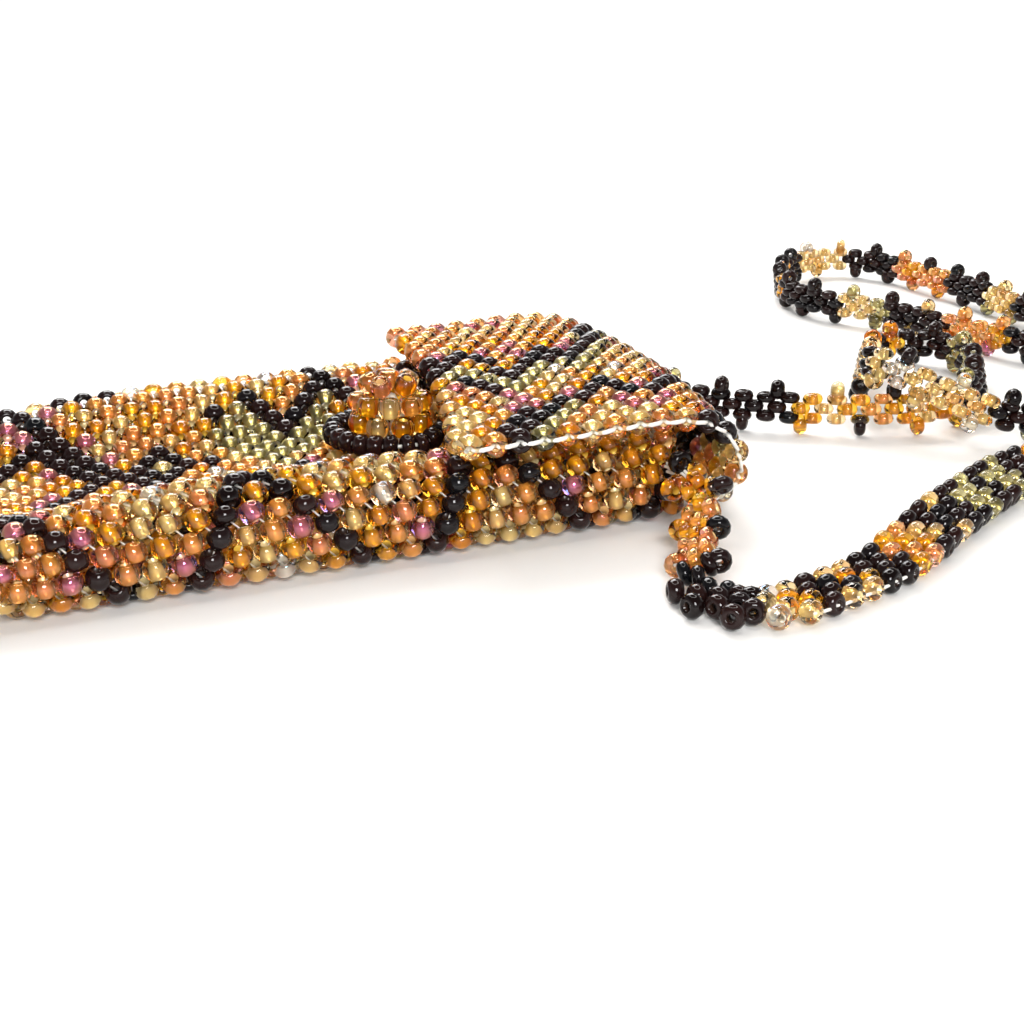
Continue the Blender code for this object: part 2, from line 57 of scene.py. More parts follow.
Array = np.ndarray
Colour = tuple[float, float, float]
TAU = 2.0 * math.pi
MILLIMETRE = 0.001
SEED = 20817
UP = np.array([0.0, 0.0, 1.0])


@dataclass(frozen=True)
class PouchSizes:
    """The pouch at the middle of its bead layer, in metres."""

    length: float = 0.0574
    width: float = 0.0360
    near_ridge: float = 0.0079
    covered_ridge: float = 0.0075
    far_ridge: float = 0.0078
    bottom_ridge_drop: float = 0.0012
    sag_height: float = 0.0037
    mouth_sag_height: float = 0.0052
    corner: float = 0.0014
    wall_bulge: float = 0.0010
    end_depth: float = 0.0022
    seam_height: float = 0.0036
    seam_squeeze: float = 0.34
    lift: float = 0.00105
    lean_fade: float = 0.009


@dataclass(frozen=True)
class FlapSizes:
    """The flap at the middle of its bead layer, in metres."""

    rim_gap: float = 0.0013
    fold_reach_near: float = 0.0060
    fold_reach_far: float = 0.0112
    height_near: float = 0.0098
    height_far: float = 0.0104
    cover_near: float = 0.0216
    cover_far: float = 0.0113
    overhang: float = 0.0018
    crown: float = 0.0004
    edge_bow: float = 0.0015
    fold_depth: float = 0.0105
    fold_lift: float = 0.0002
    table_gap: float = 0.000175
    bead_diameter: float = 0.00224


@dataclass(frozen=True)
class ButtonSizes:
    """The beaded button and the closing loop round its foot, in metres."""

    from_mouth: float = 0.0194
    bead_diameter: float = 0.0022
    bead_length: float = 0.00168
    ring_beads: int = 8
    top_beads: int = 5
    bead_clearance: float = 0.00008
    top_clearance: float = 0.0001
    tier_clearance: float = 0.00006
    shank_height: float = 0.0018
    shank_overlap: float = 0.0002
    sewing_turns: int = 7
    sewing_thread: float = 0.00020
    loop_bead_diameter: float = 0.00212
    loop_bead_length: float = 0.00142
    loop_bead_pitch: float = 0.00140
    loop_lead: float = 0.00120
    loop_clearance: float = 0.0003
    loop_radius: float = 0.0053
    loop_opening: float = math.radians(84)
    loop_end_lift: float = 0.0008


@dataclass(frozen=True)
class StitchSizes:
    """How far apart the beads stand in the woven cloth, in metres."""

    row_pitch: float = 0.00225
    column_pitch: float = 0.00163
    thread: float = 0.00034
    crown: float = 0.00105
    inner_thread_radius: float = 0.00010
    least_apart: float = 0.00118


@dataclass(frozen=True)
class SelvedgeSizes:
    """How the thread turns along the flap's edges, measured from each edge bead's middle."""

    radius: float = 0.00019
    leaves_hole: float = 0.00080
    hole_half_gap: float = 0.00036
    deep: float = 0.00014
    deep_half_gap: float = 0.00010
    between_beads: float = 0.00098
    drift: float = 0.0000656


@dataclass(frozen=True)
class SeamSizes:
    """The stitches that draw the bottom end shut, in metres."""

    radius: float = 0.00017
    margin: float = 0.0002
    swing: float = 0.0004
    points: int = 90


@dataclass(frozen=True)
class StrapSizes:
    """The neck strap, in metres, with places measured along it from its near end."""

    width: float = 0.0048
    near_exit: tuple[float, float, float] = (0.0562, -0.00425, 0.0054)
    far_exit: tuple[float, float, float] = (0.0562, 0.04025, 0.0054)
    lie: float = 0.0025
    crossing_gap: float = 0.0003
    row_pitch: float = 0.00240
    bead_diameter: float = 0.00212
    bead_length: float = 0.00142
    bead_bore: float = 0.00070
    bead_segments: int = 12
    ribbon_columns: tuple[float, ...] = (-1.5, -0.5, 0.5, 1.5)
    ribbon_gap: float = 0.00134
    ribbon_bead: float = 0.94
    chain_columns: tuple[float, ...] = (-1.0, 0.0, 1.0)
    chain_gap: float = 0.00100
    chain_bead: float = 0.80
    picot_reach: float = 0.00186
    picot_bead: float = 0.92
    half_standing: float = 0.0027
    half_lying: float = 0.00106
    settle_from: float = 0.008
    settle_over: float = 0.010
    twist: float = 5.0
    twist_length: float = 0.0083
    edge_thread: float = 0.00014
    edge_thread_from: float = 0.026
    edge_thread_reach: float = 0.0031
    hole_depth: float = 0.0001
    hole_face: float = 0.00036
    wall_bead_gap: float = 0.00095
    wall_bead_rise: float = 0.00105
    lash_turns: int = 4
    lash_step: float = 0.00024
    lash_inner: float = 0.0030
    lash_outer: float = 0.0007
    lash_wander: float = 0.0002
    lash_slack: float = 0.00015
    lash_lift: float = 0.00008


POUCH, FLAP, BUTTON, STITCH = PouchSizes(), FlapSizes(), ButtonSizes(), StitchSizes()
SELVEDGE, SEAM, STRAP = SelvedgeSizes(), SeamSizes(), StrapSizes()
SEAM_STANDS_OUT = 0.00065
ORIGIN = np.array([
    (POUCH.length + FLAP.fold_reach_far + STITCH.crown - POUCH.end_depth - SEAM_STANDS_OUT) / 2.0,
    POUCH.width / 2.0,
    0.0,
])


def ease(a: float, b: float, t: float) -> float:
    """Change smoothly from a at t = 0 to b at t = 1."""
    t = min(max(t, 0.0), 1.0)
    return a + (b - a) * t * t * (3.0 - 2.0 * t)


def smooth_curve(points: Array, t: Array, closed: bool = False) -> Array:
    """Sample a Catmull-Rom curve.

    Args:
        points: The points that the curve passes through, one a row.
        t: Places on the curve, from 0 to 1.
        closed: Whether the curve joins its own start.

    Returns:
        One point for each t.
    """
    n = len(points)
    spans = n if closed else n - 1
    u = np.clip(t, 0.0, 1.0) * spans
    span = np.minimum(u.astype(int), spans - 1)
    f = (u - span)[:, None]
    if closed:
        padded = np.concatenate([points[-1:], points, points[:2]])
    else:
        padded = np.concatenate([2 * points[:1] - points[1:2], points,
                                 2 * points[-1:] - points[-2:-1]])
    p0, p1, p2, p3 = (padded[span + k] for k in range(4))
    return 0.5 * (2 * p1 + (p2 - p0) * f + (2 * p0 - 5 * p1 + 4 * p2 - p3) * f ** 2
                  + (3 * p1 - p0 - 3 * p2 + p3) * f ** 3)


def even_points(points: Sequence, count: int, closed: bool = False, samples: int = 600) -> Array:
    """Space points evenly along a smooth curve.

    Args:
        points: The points that the curve passes through.
        count: How many points to return.
        closed: Whether the curve joins its own start, which then isn't repeated.
        samples: How finely the curve is measured.

    Returns:
        The evenly spaced points, one a row.
    """
    fine = smooth_curve(np.asarray(points, float), np.linspace(0.0, 1.0, samples + 1), closed)
    run = np.concatenate([[0.0], np.cumsum(np.linalg.norm(np.diff(fine, axis=0), axis=1))])
    wanted = run[-1] * np.arange(count) / (count if closed else count - 1)
    return np.stack([np.interp(wanted, run, axis) for axis in fine.T], axis=1)


def unit(vectors: Array) -> Array:
    """Scale one vector, or one a row, to length 1."""
    return vectors / np.maximum(np.linalg.norm(vectors, axis=-1, keepdims=True), 1e-12)


def polar(angle: float) -> Array:
    """The level direction at an angle from the bag's length."""
    return np.array([math.cos(angle), math.sin(angle), 0.0])


def grain(mat: bpy.types.Material, scale: float, detail: float = 2.0) -> bpy.types.NodeSocket:
    """Add a fine grain that is fixed to the piece.

    Args:
        mat: The material whose nodes are added to.
        scale: Grains in a metre, roughly.
        detail: How many finer layers it has.

    Returns:
        A socket from 0 to 1.
    """
    nodes = mat.node_tree.nodes
    place, noise = nodes.new("ShaderNodeTexCoord"), nodes.new("ShaderNodeTexNoise")
    noise.inputs["Scale"].default_value = scale
    noise.inputs["Detail"].default_value = detail
    mat.node_tree.links.new(place.outputs["Object"], noise.inputs["Vector"])
    return noise.outputs["Fac"]


def mottle(mat: bpy.types.Material, shader: bpy.types.ShaderNode, factor: bpy.types.NodeSocket,
           first: Colour, second: Colour) -> None:
    """Mix two colours into the shader's base colour.

    Args:
        mat: The material whose nodes are added to.
        shader: Its Principled shader.
        factor: Where the second colour shows.
        first: The first colour.
        second: The second colour.
    """
    mix = mat.node_tree.nodes.new("ShaderNodeMix")
    mix.data_type = "RGBA"
    mix.inputs["A"].default_value = (*first, 1.0)
    mix.inputs["B"].default_value = (*second, 1.0)
    mat.node_tree.links.new(factor, mix.inputs["Factor"])
    mat.node_tree.links.new(mix.outputs["Result"], shader.inputs["Base Color"])


def ripple(mat: bpy.types.Material, shader: bpy.types.ShaderNode, height: bpy.types.NodeSocket,
           strength: float, depth: float) -> None:
    """Make the surface uneven.

    Args:
        mat: The material whose nodes are added to.
        shader: Its Principled shader.
        height: How high the surface is at each place, from 0 to 1.
        strength: How strongly it shows.
        depth: The full height, in metres.
    """
    bump = mat.node_tree.nodes.new("ShaderNodeBump")
    bump.inputs["Strength"].default_value = strength
    bump.inputs["Distance"].default_value = depth
    mat.node_tree.links.new(height, bump.inputs["Height"])
    mat.node_tree.links.new(bump.outputs["Normal"], shader.inputs["Normal"])


class Bead(Enum):
    """The kinds of seed bead in the bag."""

    JET = "jet"
    AMBER = "amber"
    STRAW = "straw"
    ROSE = "rose"
    PLUM = "plum"
    OLIVE = "olive"
    CLEAR = "clear"


@dataclass(frozen=True)
class GlassFinish:
    """One kind of bead glass and the lining of its hole."""

    tints: tuple[Colour, ...]
    lining: Colour
    transmission: float = 1.0
    roughness: float = 0.03
    specular: float = 0.5
    film_nm: float = 0.0
    film_ior: float = 1.6
    lining_metallic: float = 0.0
    lining_roughness: float = 0.24
    lining_shade: float = 0.72
    lining_grain: float = 1500.0
    ior: float = 1.52
    ripple_scale: float = 620.0
    ripple_detail: float = 1.5
    ripple_strength: float = 0.22
    ripple_depth: float = 0.0004

    def material(self, name: str) -> bpy.types.Material:
        """Build the glass.

        Args:
            name: The material's name.

        Returns:
            A material whose tint varies from bead to bead, on a finely rippled surface.
        """
        mat, shader = principled(name)
        links, nodes = mat.node_tree.links, mat.node_tree.nodes
        shader.inputs["Transmission Weight"].default_value = self.transmission
        shader.inputs["Roughness"].default_value = self.roughness
        shader.inputs["IOR"].default_value = self.ior
        shader.inputs["Specular IOR Level"].default_value = self.specular
        shader.inputs["Thin Film Thickness"].default_value = self.film_nm
        shader.inputs["Thin Film IOR"].default_value = self.film_ior
        tint = nodes.new("ShaderNodeAttribute")
        tint.attribute_name = "bead_tint"
        ramp = nodes.new("ShaderNodeValToRGB")
        last = len(self.tints) - 1
        stops = ramp.color_ramp.elements
        while len(stops) < len(self.tints):
            stops.new(0.5)
        for k, colour in enumerate(self.tints):
            stops[k].position = k / max(last, 1)
            stops[k].color = (*colour, 1.0)
        links.new(tint.outputs["Fac"], ramp.inputs["Fac"])
        links.new(ramp.outputs["Color"], shader.inputs["Base Color"])
        ripple(mat, shader, grain(mat, self.ripple_scale, self.ripple_detail),
               self.ripple_strength, self.ripple_depth)
        return mat

    def lining_material(self, name: str) -> bpy.types.Material:
        """Build the painted or silvered skin inside the bead's hole.

        Args:
            name: The material's name.

        Returns:
            A mottled opaque material.
        """
        mat, shader = principled(name)
        shader.inputs["Metallic"].default_value = self.lining_metallic
        shader.inputs["Roughness"].default_value = self.lining_roughness
        shade = tuple(self.lining_shade * c for c in self.lining)
        mottle(mat, shader, grain(mat, self.lining_grain), self.lining, shade)
        return mat


def principled(name: str) -> tuple[bpy.types.Material, bpy.types.ShaderNode]:
    """Start a node material.

    Args:
        name: The material's name.

    Returns:
        The material and its Principled shader.
    """
    mat = bpy.data.materials.new(name)
    mat.use_nodes = True
    return mat, mat.node_tree.nodes["Principled BSDF"]


FINISHES: dict[Bead, GlassFinish] = {
    Bead.JET: GlassFinish(
        tints=((0.004, 0.002, 0.002), (0.018, 0.006, 0.005), (0.004, 0.005, 0.006)),
        lining=(0.03, 0.015, 0.010), transmission=0.0, roughness=0.06, specular=0.25),
    Bead.AMBER: GlassFinish(
        tints=((0.86, 0.34, 0.02), (0.99, 0.60, 0.06), (0.94, 0.44, 0.03)),
        lining=(1.0, 0.68, 0.10), lining_metallic=0.35),
    Bead.STRAW: GlassFinish(
        tints=((1.0, 0.68, 0.28), (1.0, 0.84, 0.50), (0.98, 0.58, 0.24)),
        lining=(1.0, 0.84, 0.46), lining_metallic=0.4),
    Bead.ROSE: GlassFinish(
        tints=((0.88, 0.38, 0.16), (0.96, 0.52, 0.16), (0.84, 0.34, 0.28)),
        lining=(1.0, 0.66, 0.28), film_nm=272.0, film_ior=1.8, lining_metallic=0.25),
    Bead.PLUM: GlassFinish(
        tints=((0.46, 0.16, 0.28), (0.56, 0.26, 0.44), (0.52, 0.20, 0.22)),
        lining=(1.0, 0.62, 0.44), film_nm=274.0, film_ior=1.9, lining_metallic=0.25),
    Bead.OLIVE: GlassFinish(
        tints=((0.56, 0.50, 0.22), (0.72, 0.64, 0.32), (0.42, 0.38, 0.16)),
        lining=(0.90, 0.82, 0.54), lining_metallic=0.8, lining_roughness=0.28),
    Bead.CLEAR: GlassFinish(
        tints=((0.97, 0.86, 0.70), (0.92, 0.82, 0.78), (1.0, 0.90, 0.62)),
        lining=(1.0, 0.94, 0.80), film_nm=208.0, film_ior=1.7, lining_metallic=0.6),
}


@dataclass(frozen=True)
class BeadShape:
    """The turned shape of a seed bead: a fat ring with rounded ends."""

    diameter: float = 0.00214
    length: float = 0.00166
    bore: float = 0.00078
    segments: int = 14

    def profile(self) -> Array:
        """Outline of the ring's wall.

        Returns:
            Closed rows of (radius, height); the last two steps are the bore.
        """
        r, h, b = self.diameter / 2.0, self.length / 2.0, self.bore / 2.0
        upper = [(0.93 * r, 0.48 * h), (0.76 * r, 0.83 * h), (0.55 * r, h), (b, 0.86 * h)]
        lower = [(x, -z) for x, z in reversed(upper)]
        return np.array([(r, 0.0)] + upper + lower)

    def template(self) -> tuple[Array, Array, Array]:
        """Turn the outline round the bead's axis.

        Returns:
            Points, four-sided faces, and a flag for the faces of the bore.
        """
        outline = self.profile()
        n, m = len(outline), self.segments
        angle = TAU * np.arange(m) / m
        points = np.stack([
            np.outer(np.cos(angle), outline[:, 0]),
            np.outer(np.sin(angle), outline[:, 0]),
            np.tile(outline[:, 1], (m, 1)),
        ], axis=-1).reshape(-1, 3)
        j, i = np.meshgrid(np.arange(m), np.arange(n), indexing="ij")
        after_j, after_i = (j + 1) % m, (i + 1) % n
        faces = np.stack([j * n + i, after_j * n + i, after_j * n + after_i, j * n + after_i],
                         axis=-1).reshape(-1, 4)
        bore = (i == n // 2).reshape(-1)
        return points, faces, bore


@dataclass(frozen=True)
class HandWork:
    """How much one bead differs from the next, as shares of its size, radians or metres."""

    lean: float = 0.045
    drift: float = 0.00003
    size: float = 0.025
    size_limits: tuple[float, float] = (-0.06, 0.05)
    length: float = 0.05
    length_limits: tuple[float, float] = (-0.12, 0.06)


@dataclass
class BeadTray:
    """Beads laid out ready to be made into pieces, sorted by kind."""

    name: str
    shape: BeadShape
    slots: dict[Bead, str]
    seed: int
    hand: HandWork = HandWork()
    centres: list[Array] = field(default_factory=list)
    axes: list[Array] = field(default_factory=list)
    kinds: list[Bead] = field(default_factory=list)
    lengths: list[float] = field(default_factory=list)

    def add(self, centre: Array, axis: Array, kind: Bead, length: float = 1.0) -> None:
        """Lay one bead in the tray.

        Args:
            centre: Its middle, in metres from the part's origin.
            axis: The direction of its hole.
            kind: Its glass.
            length: Its length, as a share of the tray's own.
        """
        self.lengths.append(length)
        self.centres.append(np.asarray(centre, float))
        self.axes.append(np.asarray(axis, float))
        self.kinds.append(kind)

    def thin_out(self, least: float) -> None:
        """Take out beads that would sit in one another.

        Args:
            least: The smallest distance between two beads' middles.
        """
        kept: list[int] = []
        points = np.array(self.centres)
        for k, point in enumerate(points):
            if not kept or np.linalg.norm(points[kept] - point, axis=1).min() >= least:
                kept.append(k)
        log.info("%s: %d of %d beads kept", self.name, len(kept), len(points))
        for rows in (self.centres, self.axes, self.kinds, self.lengths):
            rows[:] = [rows[k] for k in kept]

    def make(self, cad_nodes: Iterable[str] = (),
             groups: dict[str, tuple[Bead, ...]] | None = None) -> dict[str, bpy.types.Object]:
        """Make one mesh piece for each kind of bead, or for each group of kinds.

        Args:
            cad_nodes: The CAD nodes that the pieces stand for.
            groups: The kinds of bead that share a piece, by the piece's name.

        Returns:
            The pieces by the name of their kind or group.
        """
        groups = groups or {kind.value: (kind,) for kind in Bead}
        rng = np.random.default_rng(self.seed)
        points, faces, bore = self.shape.template()
        centres, axes = np.array(self.centres), unit(np.array(self.axes))
        count = len(centres)
        hand = self.hand
        axes = unit(axes + rng.normal(0.0, hand.lean, (count, 3)))
        centres = centres + rng.normal(0.0, hand.drift, (count, 3))
        size = 1.0 + np.clip(rng.normal(0.0, hand.size, (count, 1)), *hand.size_limits)
        stretch = (1.0 + np.clip(rng.normal(0.0, hand.length, count), *hand.length_limits)
                   ) * self.lengths
        widest = self.shape.diameter * (1.0 + hand.size_limits[1])
        least = 0.5 * (widest * np.sqrt(1.0 - axes[:, 2] ** 2)
                       + 0.9 * self.shape.length * stretch * np.abs(axes[:, 2]))
        centres[:, 2] = np.maximum(centres[:, 2], least)
        tint = rng.random(count)
        spin = rng.random(count) * TAU
        side = unit(np.cross(axes, np.where(np.abs(axes[:, 2:3]) > 0.8,
                                            [[1.0, 0.0, 0.0]], [[0.0, 0.0, 1.0]])))
        other = np.cross(axes, side)
        c, s = np.cos(spin)[:, None], np.sin(spin)[:, None]
        x_axis, y_axis = side * c + other * s, other * c - side * s
        made: dict[str, bpy.types.Object] = {}
        for label, members in groups.items():
            rows = np.array([k for k, kind in enumerate(self.kinds) if kind in members], int)
            if not len(rows):
                continue
            local = points[None] * size[rows][:, None]
            world = (centres[rows][:, None]
                     + local[..., 0:1] * x_axis[rows][:, None]
                     + local[..., 1:2] * y_axis[rows][:, None]
                     + local[..., 2:3] * axes[rows][:, None] * stretch[rows][:, None, None])
            step = np.arange(len(rows))[:, None, None] * len(points)
            mesh = quad_mesh(f"{self.name}_{label}", world.reshape(-1, 3),
                             (faces[None] + step).reshape(-1, 4))
            glass = np.array([2 * members.index(self.kinds[k]) for k in rows])
            mesh.polygons.foreach_set(
                "material_index", (glass[:, None] + bore[None]).astype(np.int32).ravel())
            values = mesh.attributes.new("bead_tint", "FLOAT", "POINT")
            values.data.foreach_set(
                "value", np.repeat(tint[rows], len(points)).astype(np.float32))
            for kind in members:
                mesh.materials.append(glass_material(kind))
                mesh.materials.append(lining_material(kind))
            piece = bpy.data.objects.new(mesh.name, mesh)
            bpy.context.scene.collection.objects.link(piece)
            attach(piece, "root")
            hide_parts(*cad_nodes)
            log.info("%s: %d beads, %d triangles", piece.name, len(rows),
                     2 * len(faces) * len(rows))
            made[label] = piece
        return made


@cache
def glass_material(kind: Bead) -> bpy.types.Material:
    """The glass of one kind of bead, made once."""
    return FINISHES[kind].material(f"{kind.value}_glass")


@cache
def lining_material(kind: Bead) -> bpy.types.Material:
    """The lining of one kind of bead's hole, made once."""
    return FINISHES[kind].lining_material(f"{kind.value}_lining")


@dataclass(frozen=True)
class ThreadFinish:
    """White beading thread with a fine twist."""

    first: Colour = (0.88, 0.84, 0.76)
    second: Colour = (0.97, 0.95, 0.90)
    roughness: float = 0.55
    sheen: float = 0.25
    twist_scale: float = 5200.0
    twist_strength: float = 0.4
    twist_depth: float = 0.0001

    def material(self, name: str) -> bpy.types.Material:
        """Build the thread's surface.

        Args:
            name: The material's name.

        Returns:
            The thread material.
        """
        mat, shader = principled(name)
        shader.inputs["Roughness"].default_value = self.roughness
        shader.inputs["Sheen Weight"].default_value = self.sheen
        twist = grain(mat, self.twist_scale)
        mottle(mat, shader, twist, self.first, self.second)
        ripple(mat, shader, twist, self.twist_strength, self.twist_depth)
        return mat


@cache
def thread_material() -> bpy.types.Material:
    """The thread's material, made once."""
    return ThreadFinish().material("beading_thread")


def quad_mesh(name: str, points: Array, quads: Array) -> bpy.types.Mesh:
    """Make a smooth-shaded mesh from four-sided faces.

    Args:
        name: The mesh's name.
        points: Its vertices, one a row.
        quads: Four vertex numbers for each face.

    Returns:
        The mesh.
    """
    mesh = bpy.data.meshes.new(name)
    mesh.vertices.add(len(points))
    mesh.vertices.foreach_set("co", points.astype(np.float32).ravel())
    mesh.loops.add(4 * len(quads))
    mesh.loops.foreach_set("vertex_index", quads.astype(np.int32).ravel())
    mesh.polygons.add(len(quads))
    mesh.polygons.foreach_set("loop_start", np.arange(0, 4 * len(quads), 4, dtype=np.int32))
    mesh.polygons.foreach_set("use_smooth", np.ones(len(quads), bool))
    mesh.update(calc_edges=True)
    return mesh


@dataclass
class ThreadWork:
    """Lengths of beading thread that are made as one piece."""

    name: str
    radius: float = STITCH.thread / 2.0
    sides: int = 6
    lengths: list[tuple[Array, bool]] = field(default_factory=list)

    def lay(self, points: Sequence, closed: bool = False) -> None:
        """Lay one length of thread through the points, with its ends joined where closed."""
        self.lengths.append((np.asarray(points, float), closed))

    def make(self, cad_nodes: Iterable[str] = ()) -> bpy.types.Object:
        """Sweep every length and join them.

        Args:
            cad_nodes: The CAD nodes that the thread stands for.

        Returns:
            The thread piece.
        """
        verts: list[Array] = []
        quads: list[Array] = []
        base = 0
        angle = TAU * np.arange(self.sides) / self.sides
        for path, closed in self.lengths:
            ahead = np.roll(path, -1, 0) - np.roll(path, 1, 0)
            if not closed:
                ahead[0], ahead[-1] = path[1] - path[0], path[-1] - path[-2]
            ahead = unit(ahead)
            side = unit(np.cross(ahead, np.where(np.abs(ahead[:, 2:3]) > 0.9,
                                                 [[1.0, 0.0, 0.0]], [[0.0, 0.0, 1.0]])))
            up = np.cross(side, ahead)
            ring = (path[:, None] + self.radius * (np.cos(angle)[None, :, None] * side[:, None]
                                                   + np.sin(angle)[None, :, None] * up[:, None]))
            count = len(path) if closed else len(path) - 1
            a, j = np.meshgrid(np.arange(count), np.arange(self.sides), indexing="ij")
            b, k = (a + 1) % len(path), (j + 1) % self.sides
            n = self.sides
            quads.append(base + np.stack([a * n + j, a * n + k, b * n + k, b * n + j],
                                         axis=-1).reshape(-1, 4))
            verts.append(ring.reshape(-1, 3))
            base += ring.shape[0] * n
        mesh = quad_mesh(self.name, np.concatenate(verts), np.concatenate(quads))
        mesh.materials.append(thread_material())
        piece = bpy.data.objects.new(self.name, mesh)
        bpy.context.scene.collection.objects.link(piece)
        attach(piece, "root")
        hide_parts(*cad_nodes)
        log.info("%s: %d lengths, %d triangles", self.name, len(self.lengths),
                 2 * len(mesh.polygons))
        return piece


Line = tuple[tuple[int, int], ...]
Mix = tuple[tuple[float, Bead], ...]

BY_BLACK: Mix = ((0.34, Bead.ROSE), (0.54, Bead.PLUM), (0.86, Bead.AMBER), (1.0, Bead.STRAW))
NEAR_BLACK: Mix = ((0.32, Bead.AMBER), (0.54, Bead.ROSE), (0.60, Bead.CLEAR), (1.0, Bead.STRAW))


@dataclass(frozen=True)
class Chart:
    """A bead chart: lines of one colour on a half-row and column grid, and what fills between."""

    lines: tuple[tuple[Bead, tuple[Line, ...]], ...]
    fills: tuple[tuple[int, Mix], ...]
    seed: int = SEED

    def cells(self, lines: Iterable[Line]) -> set[tuple[int, int]]:
        """Every cell on the given lines.

        Args:
            lines: Turning points as (half row, column); a line of one point is one cell.

        Returns:
            The cells, the turning points included.
        """
        found: set[tuple[int, int]] = set()
        for line in lines:
            found.update(line[:1])
            for (k0, i0), (k1, i1) in zip(line, line[1:]):
                steps = max(abs(k1 - k0), abs(i1 - i0), 1)
                for t in range(steps + 1):
                    k = round(k0 + (k1 - k0) * t / steps)
                    i = round(i0 + (i1 - i0) * t / steps)
                    found.add((k, i))
        return found

    def kinds(self, cells: Sequence[tuple[int, int]], around: int = 0) -> list[Bead]:
        """Choose a bead for each cell of the cloth.

        Args:
            cells: The (half row, column) of each bead.
            around: The number of columns round a tube, or 0 for a flat piece.

        Returns:
            One kind of bead for each cell.
        """
        rng = np.random.default_rng(self.seed)
        placed: dict[tuple[int, int], Bead] = {}
        for kind, lines in self.lines:
            for k, i in self.cells(lines):
                placed[k, i % around if around else i] = kind
        marks = np.array([cell for cell, kind in placed.items() if kind is Bead.JET])
        chosen: list[Bead] = []
        for k, i in cells:
            roll = rng.random()
            if (k, i) in placed:
                chosen.append(placed[k, i])
                continue
            across = np.abs(marks[:, 1] - i)
            if around:
                across = np.minimum(across, around - across)
            gap = int(np.maximum(np.abs(marks[:, 0] - k), across).min())
            mix = next((m for last, m in self.fills if i <= last), self.fills[-1][1])
            if gap <= 2:
                mix = BY_BLACK if gap == 1 else NEAR_BLACK
            chosen.append(next(kind for share, kind in mix if roll < share))
        return chosen


POUCH_CHART = Chart(
    lines=(
        (Bead.OLIVE, (((22, 22), (26, 18), (30, 22)), ((23, 23), (26, 20), (31, 23)),
                      ((21, 21), (26, 16)), ((28, 18), (31, 21)))),
        (Bead.JET, (
            ((-8, -2), (1, 7), (10, -2), (19, 7), (28, -2), (37, 7), (46, -2), (55, 7)),
            ((1, 7), (12, 18)),
            ((-2, 22), (1, 25), (5, 25), (15, 15)),
            ((0, 20), (3, 19), (6, 22), (10, 18)),
            ((14, 18), (16, 20), (18, 18), (16, 16), (14, 18)),
            ((18, 18), (20, 18)),
            ((24, 24), (27, 21), (31, 25), (35, 21), (39, 25), (43, 21), (47, 25), (51, 21)),
            ((19, 7), (27, 15), (33, 9)),
            ((-2, 30), (5, 37), (14, 28), (23, 37), (32, 28), (41, 37), (50, 28), (53, 31)),
            ((-2, 44), (5, 37), (14, 46), (23, 37), (32, 46), (41, 37), (50, 46), (53, 43)),
            ((4, 26),), ((8, 26),), ((10, 26),), ((12, 26),), ((21, 23),), ((30, 26),),
            ((37, 27),),
        )),
    ),
    fills=(
        (0, ((0.50, Bead.STRAW), (0.70, Bead.CLEAR), (0.85, Bead.ROSE), (1.0, Bead.PLUM))),
        (4, ((0.44, Bead.STRAW), (0.62, Bead.CLEAR), (0.86, Bead.AMBER), (1.0, Bead.ROSE))),
        (7, ((0.40, Bead.AMBER), (0.74, Bead.STRAW), (0.86, Bead.ROSE), (1.0, Bead.CLEAR))),
        (12, ((0.46, Bead.ROSE), (0.56, Bead.PLUM), (0.86, Bead.STRAW), (1.0, Bead.AMBER))),
        (20, ((0.56, Bead.STRAW), (0.80, Bead.AMBER), (0.94, Bead.ROSE), (1.0, Bead.CLEAR))),
        (26, ((0.42, Bead.ROSE), (0.78, Bead.AMBER), (1.0, Bead.STRAW))),
        (51, ((0.50, Bead.STRAW), (0.78, Bead.AMBER), (0.92, Bead.ROSE), (1.0, Bead.CLEAR))),
    ),
)

